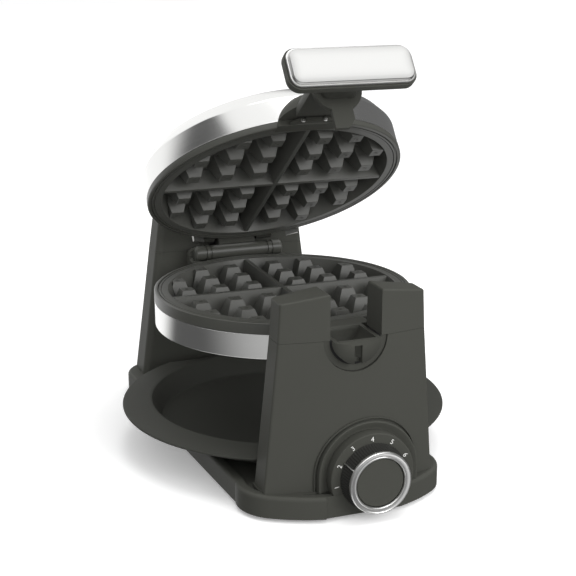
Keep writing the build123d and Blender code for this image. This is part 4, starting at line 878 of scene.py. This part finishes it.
sheet.links.new(ray_kind.outputs["Is Glossy Ray"], either.inputs[0])
sheet.links.new(seen.outputs[0], either.inputs[1])
sheet.links.new(clear.outputs[0], either.inputs[2])
sheet.links.new(either.outputs[0], sheet.nodes["Material Output"].inputs["Surface"])
floor.data.materials.append(pale)


def soft_light(name, place, aim, power, side):
    """A square soft box that looks at a point."""
    lamp = bpy.data.lights.new(name, "AREA")
    lamp.shape = "RECTANGLE"
    lamp.size = side
    lamp.size_y = side
    lamp.energy = power
    made = placed(name, lamp)
    made.location = place
    made.rotation_mode = "QUATERNION"
    made.rotation_quaternion = (Vector(aim) - Vector(place)).to_track_quat("-Z", "Y")


soft_light("top_box", (0.1, -0.1, 1.9), (0, 0, 0.1), power=10, side=1.0)
soft_light("front_box", (0.7, -1.6, 0.9), (0, 0, 0.15), power=12, side=0.9)


# Room: white to the camera. Its light on the object is strongest from the front and weak
# from the left and behind. The metal mirrors a dim room with white sheets and a pale floor.
LIGHT_BACK = 0.30
LIGHT_FRONT = 2.0
LIGHT_LEFT = 0.45
LIGHT_RIGHT = 1.35
LIGHT_ABOVE = 0.80
LIGHT_FRONT_TO_BACK = (-0.6, 0.9)
# Each band is an axis of the direction, where the change begins and is full, and its strength.
LIGHT_BANDS = [
    ("X", 0.2, 0.9, LIGHT_RIGHT),
    ("X", -0.4, -0.95, LIGHT_LEFT),
    ("Z", 0.35, 0.80, LIGHT_ABOVE),
]
MIRRORED_DARK = 0.13
MIRRORED_FRONT = 0.62
MIRRORED_RIGHT = 0.17
MIRRORED_SHEET = 1.35
MIRRORED_FLOOR = 1.10
MIRRORED_BANDS = [
    ("X", 0.05, 0.33, MIRRORED_RIGHT),
    ("Z", 0.66, 0.75, MIRRORED_SHEET),
    ("Z", -0.62, -0.80, MIRRORED_FLOOR),
]
MIRRORED_DARK_TO_FRONT = (0.15, -0.85)
BACK_SHEET_WAY = (0.0, 1.0, 0.507)
BACK_SHEET_EDGE = (0.44, 0.73)
room = bpy.data.worlds.new("studio")
room.use_nodes = True
tree = room.node_tree
direction = tree.nodes.new("ShaderNodeTexCoord").outputs["Generated"]
split = tree.nodes.new("ShaderNodeSeparateXYZ")
tree.links.new(direction, split.inputs[0])


def eased(value, low, high, to_low, to_high):
    """A value carried smoothly from one range to another."""
    node = tree.nodes.new("ShaderNodeMapRange")
    node.interpolation_type = "SMOOTHSTEP"
    for title, number in (("From Min", low), ("From Max", high), ("To Min", to_low), ("To Max", to_high)):
        node.inputs[title].default_value = number
    tree.links.new(value, node.inputs["Value"])
    return node.outputs["Result"]


def lerped(share, low, high):
    """A blend of two levels; each is a number or a socket."""
    node = tree.nodes.new("ShaderNodeMix")
    tree.links.new(share, node.inputs["Factor"])
    feed(tree, low, node.inputs[2])
    feed(tree, high, node.inputs[3])
    return node.outputs[0]


def leaning(way):
    """How far a direction leans towards a given way."""
    node = tree.nodes.new("ShaderNodeVectorMath")
    node.operation = "DOT_PRODUCT"
    tree.links.new(direction, node.inputs[0])
    node.inputs[1].default_value = way
    return node.outputs["Value"]


def banded(level, bands):
    """Changes a level to another strength past a value of the direction's X, Y or Z."""
    for axis, begins, full, strength in bands:
        level = lerped(eased(split.outputs[axis], begins, full, 0.0, 1.0), level, strength)
    return level


light = eased(split.outputs["Y"], *LIGHT_FRONT_TO_BACK, LIGHT_FRONT, LIGHT_BACK)
light = banded(light, LIGHT_BANDS)
mirrored = eased(split.outputs["Y"], *MIRRORED_DARK_TO_FRONT, MIRRORED_DARK, MIRRORED_FRONT)
mirrored = lerped(eased(leaning(BACK_SHEET_WAY), *BACK_SHEET_EDGE, 0.0, 1.0), mirrored, MIRRORED_SHEET)
mirrored = banded(mirrored, MIRRORED_BANDS)
ray = tree.nodes.new("ShaderNodeLightPath").outputs
level = lerped(ray["Is Glossy Ray"], light, mirrored)
tree.links.new(lerped(ray["Is Camera Ray"], level, 1.0), tree.nodes["Background"].inputs["Strength"])
tree.nodes["Background"].inputs["Color"].default_value = (1, 1, 1, 1)
bpy.context.scene.world = room
bpy.context.scene.view_settings.view_transform = "Standard"


# Camera: a long lens a metre away, to the left of the front and a little above. Its place
# is given by the point it looks at, two angles and a distance.
CAMERA_AIM = Vector((0.004658, 0.0, 0.130916))
CAMERA_TURN = math.radians(-20.596)
CAMERA_TIP = math.radians(15.933)
CAMERA_REACH = 1.052673
camera_data = bpy.data.cameras.new("camera")
camera_data.lens = 80.062
camera_data.sensor_width = 36.0
camera_data.clip_end = 50.0
camera = placed("camera", camera_data)
away_x = math.sin(CAMERA_TURN) * math.cos(CAMERA_TIP)
away_y = -math.cos(CAMERA_TURN) * math.cos(CAMERA_TIP)
camera.location = CAMERA_AIM + CAMERA_REACH * Vector((away_x, away_y, math.sin(CAMERA_TIP)))
camera.rotation_mode = "QUATERNION"
camera.rotation_quaternion = (CAMERA_AIM - camera.location).to_track_quat("-Z", "Y")
bpy.context.scene.camera = camera
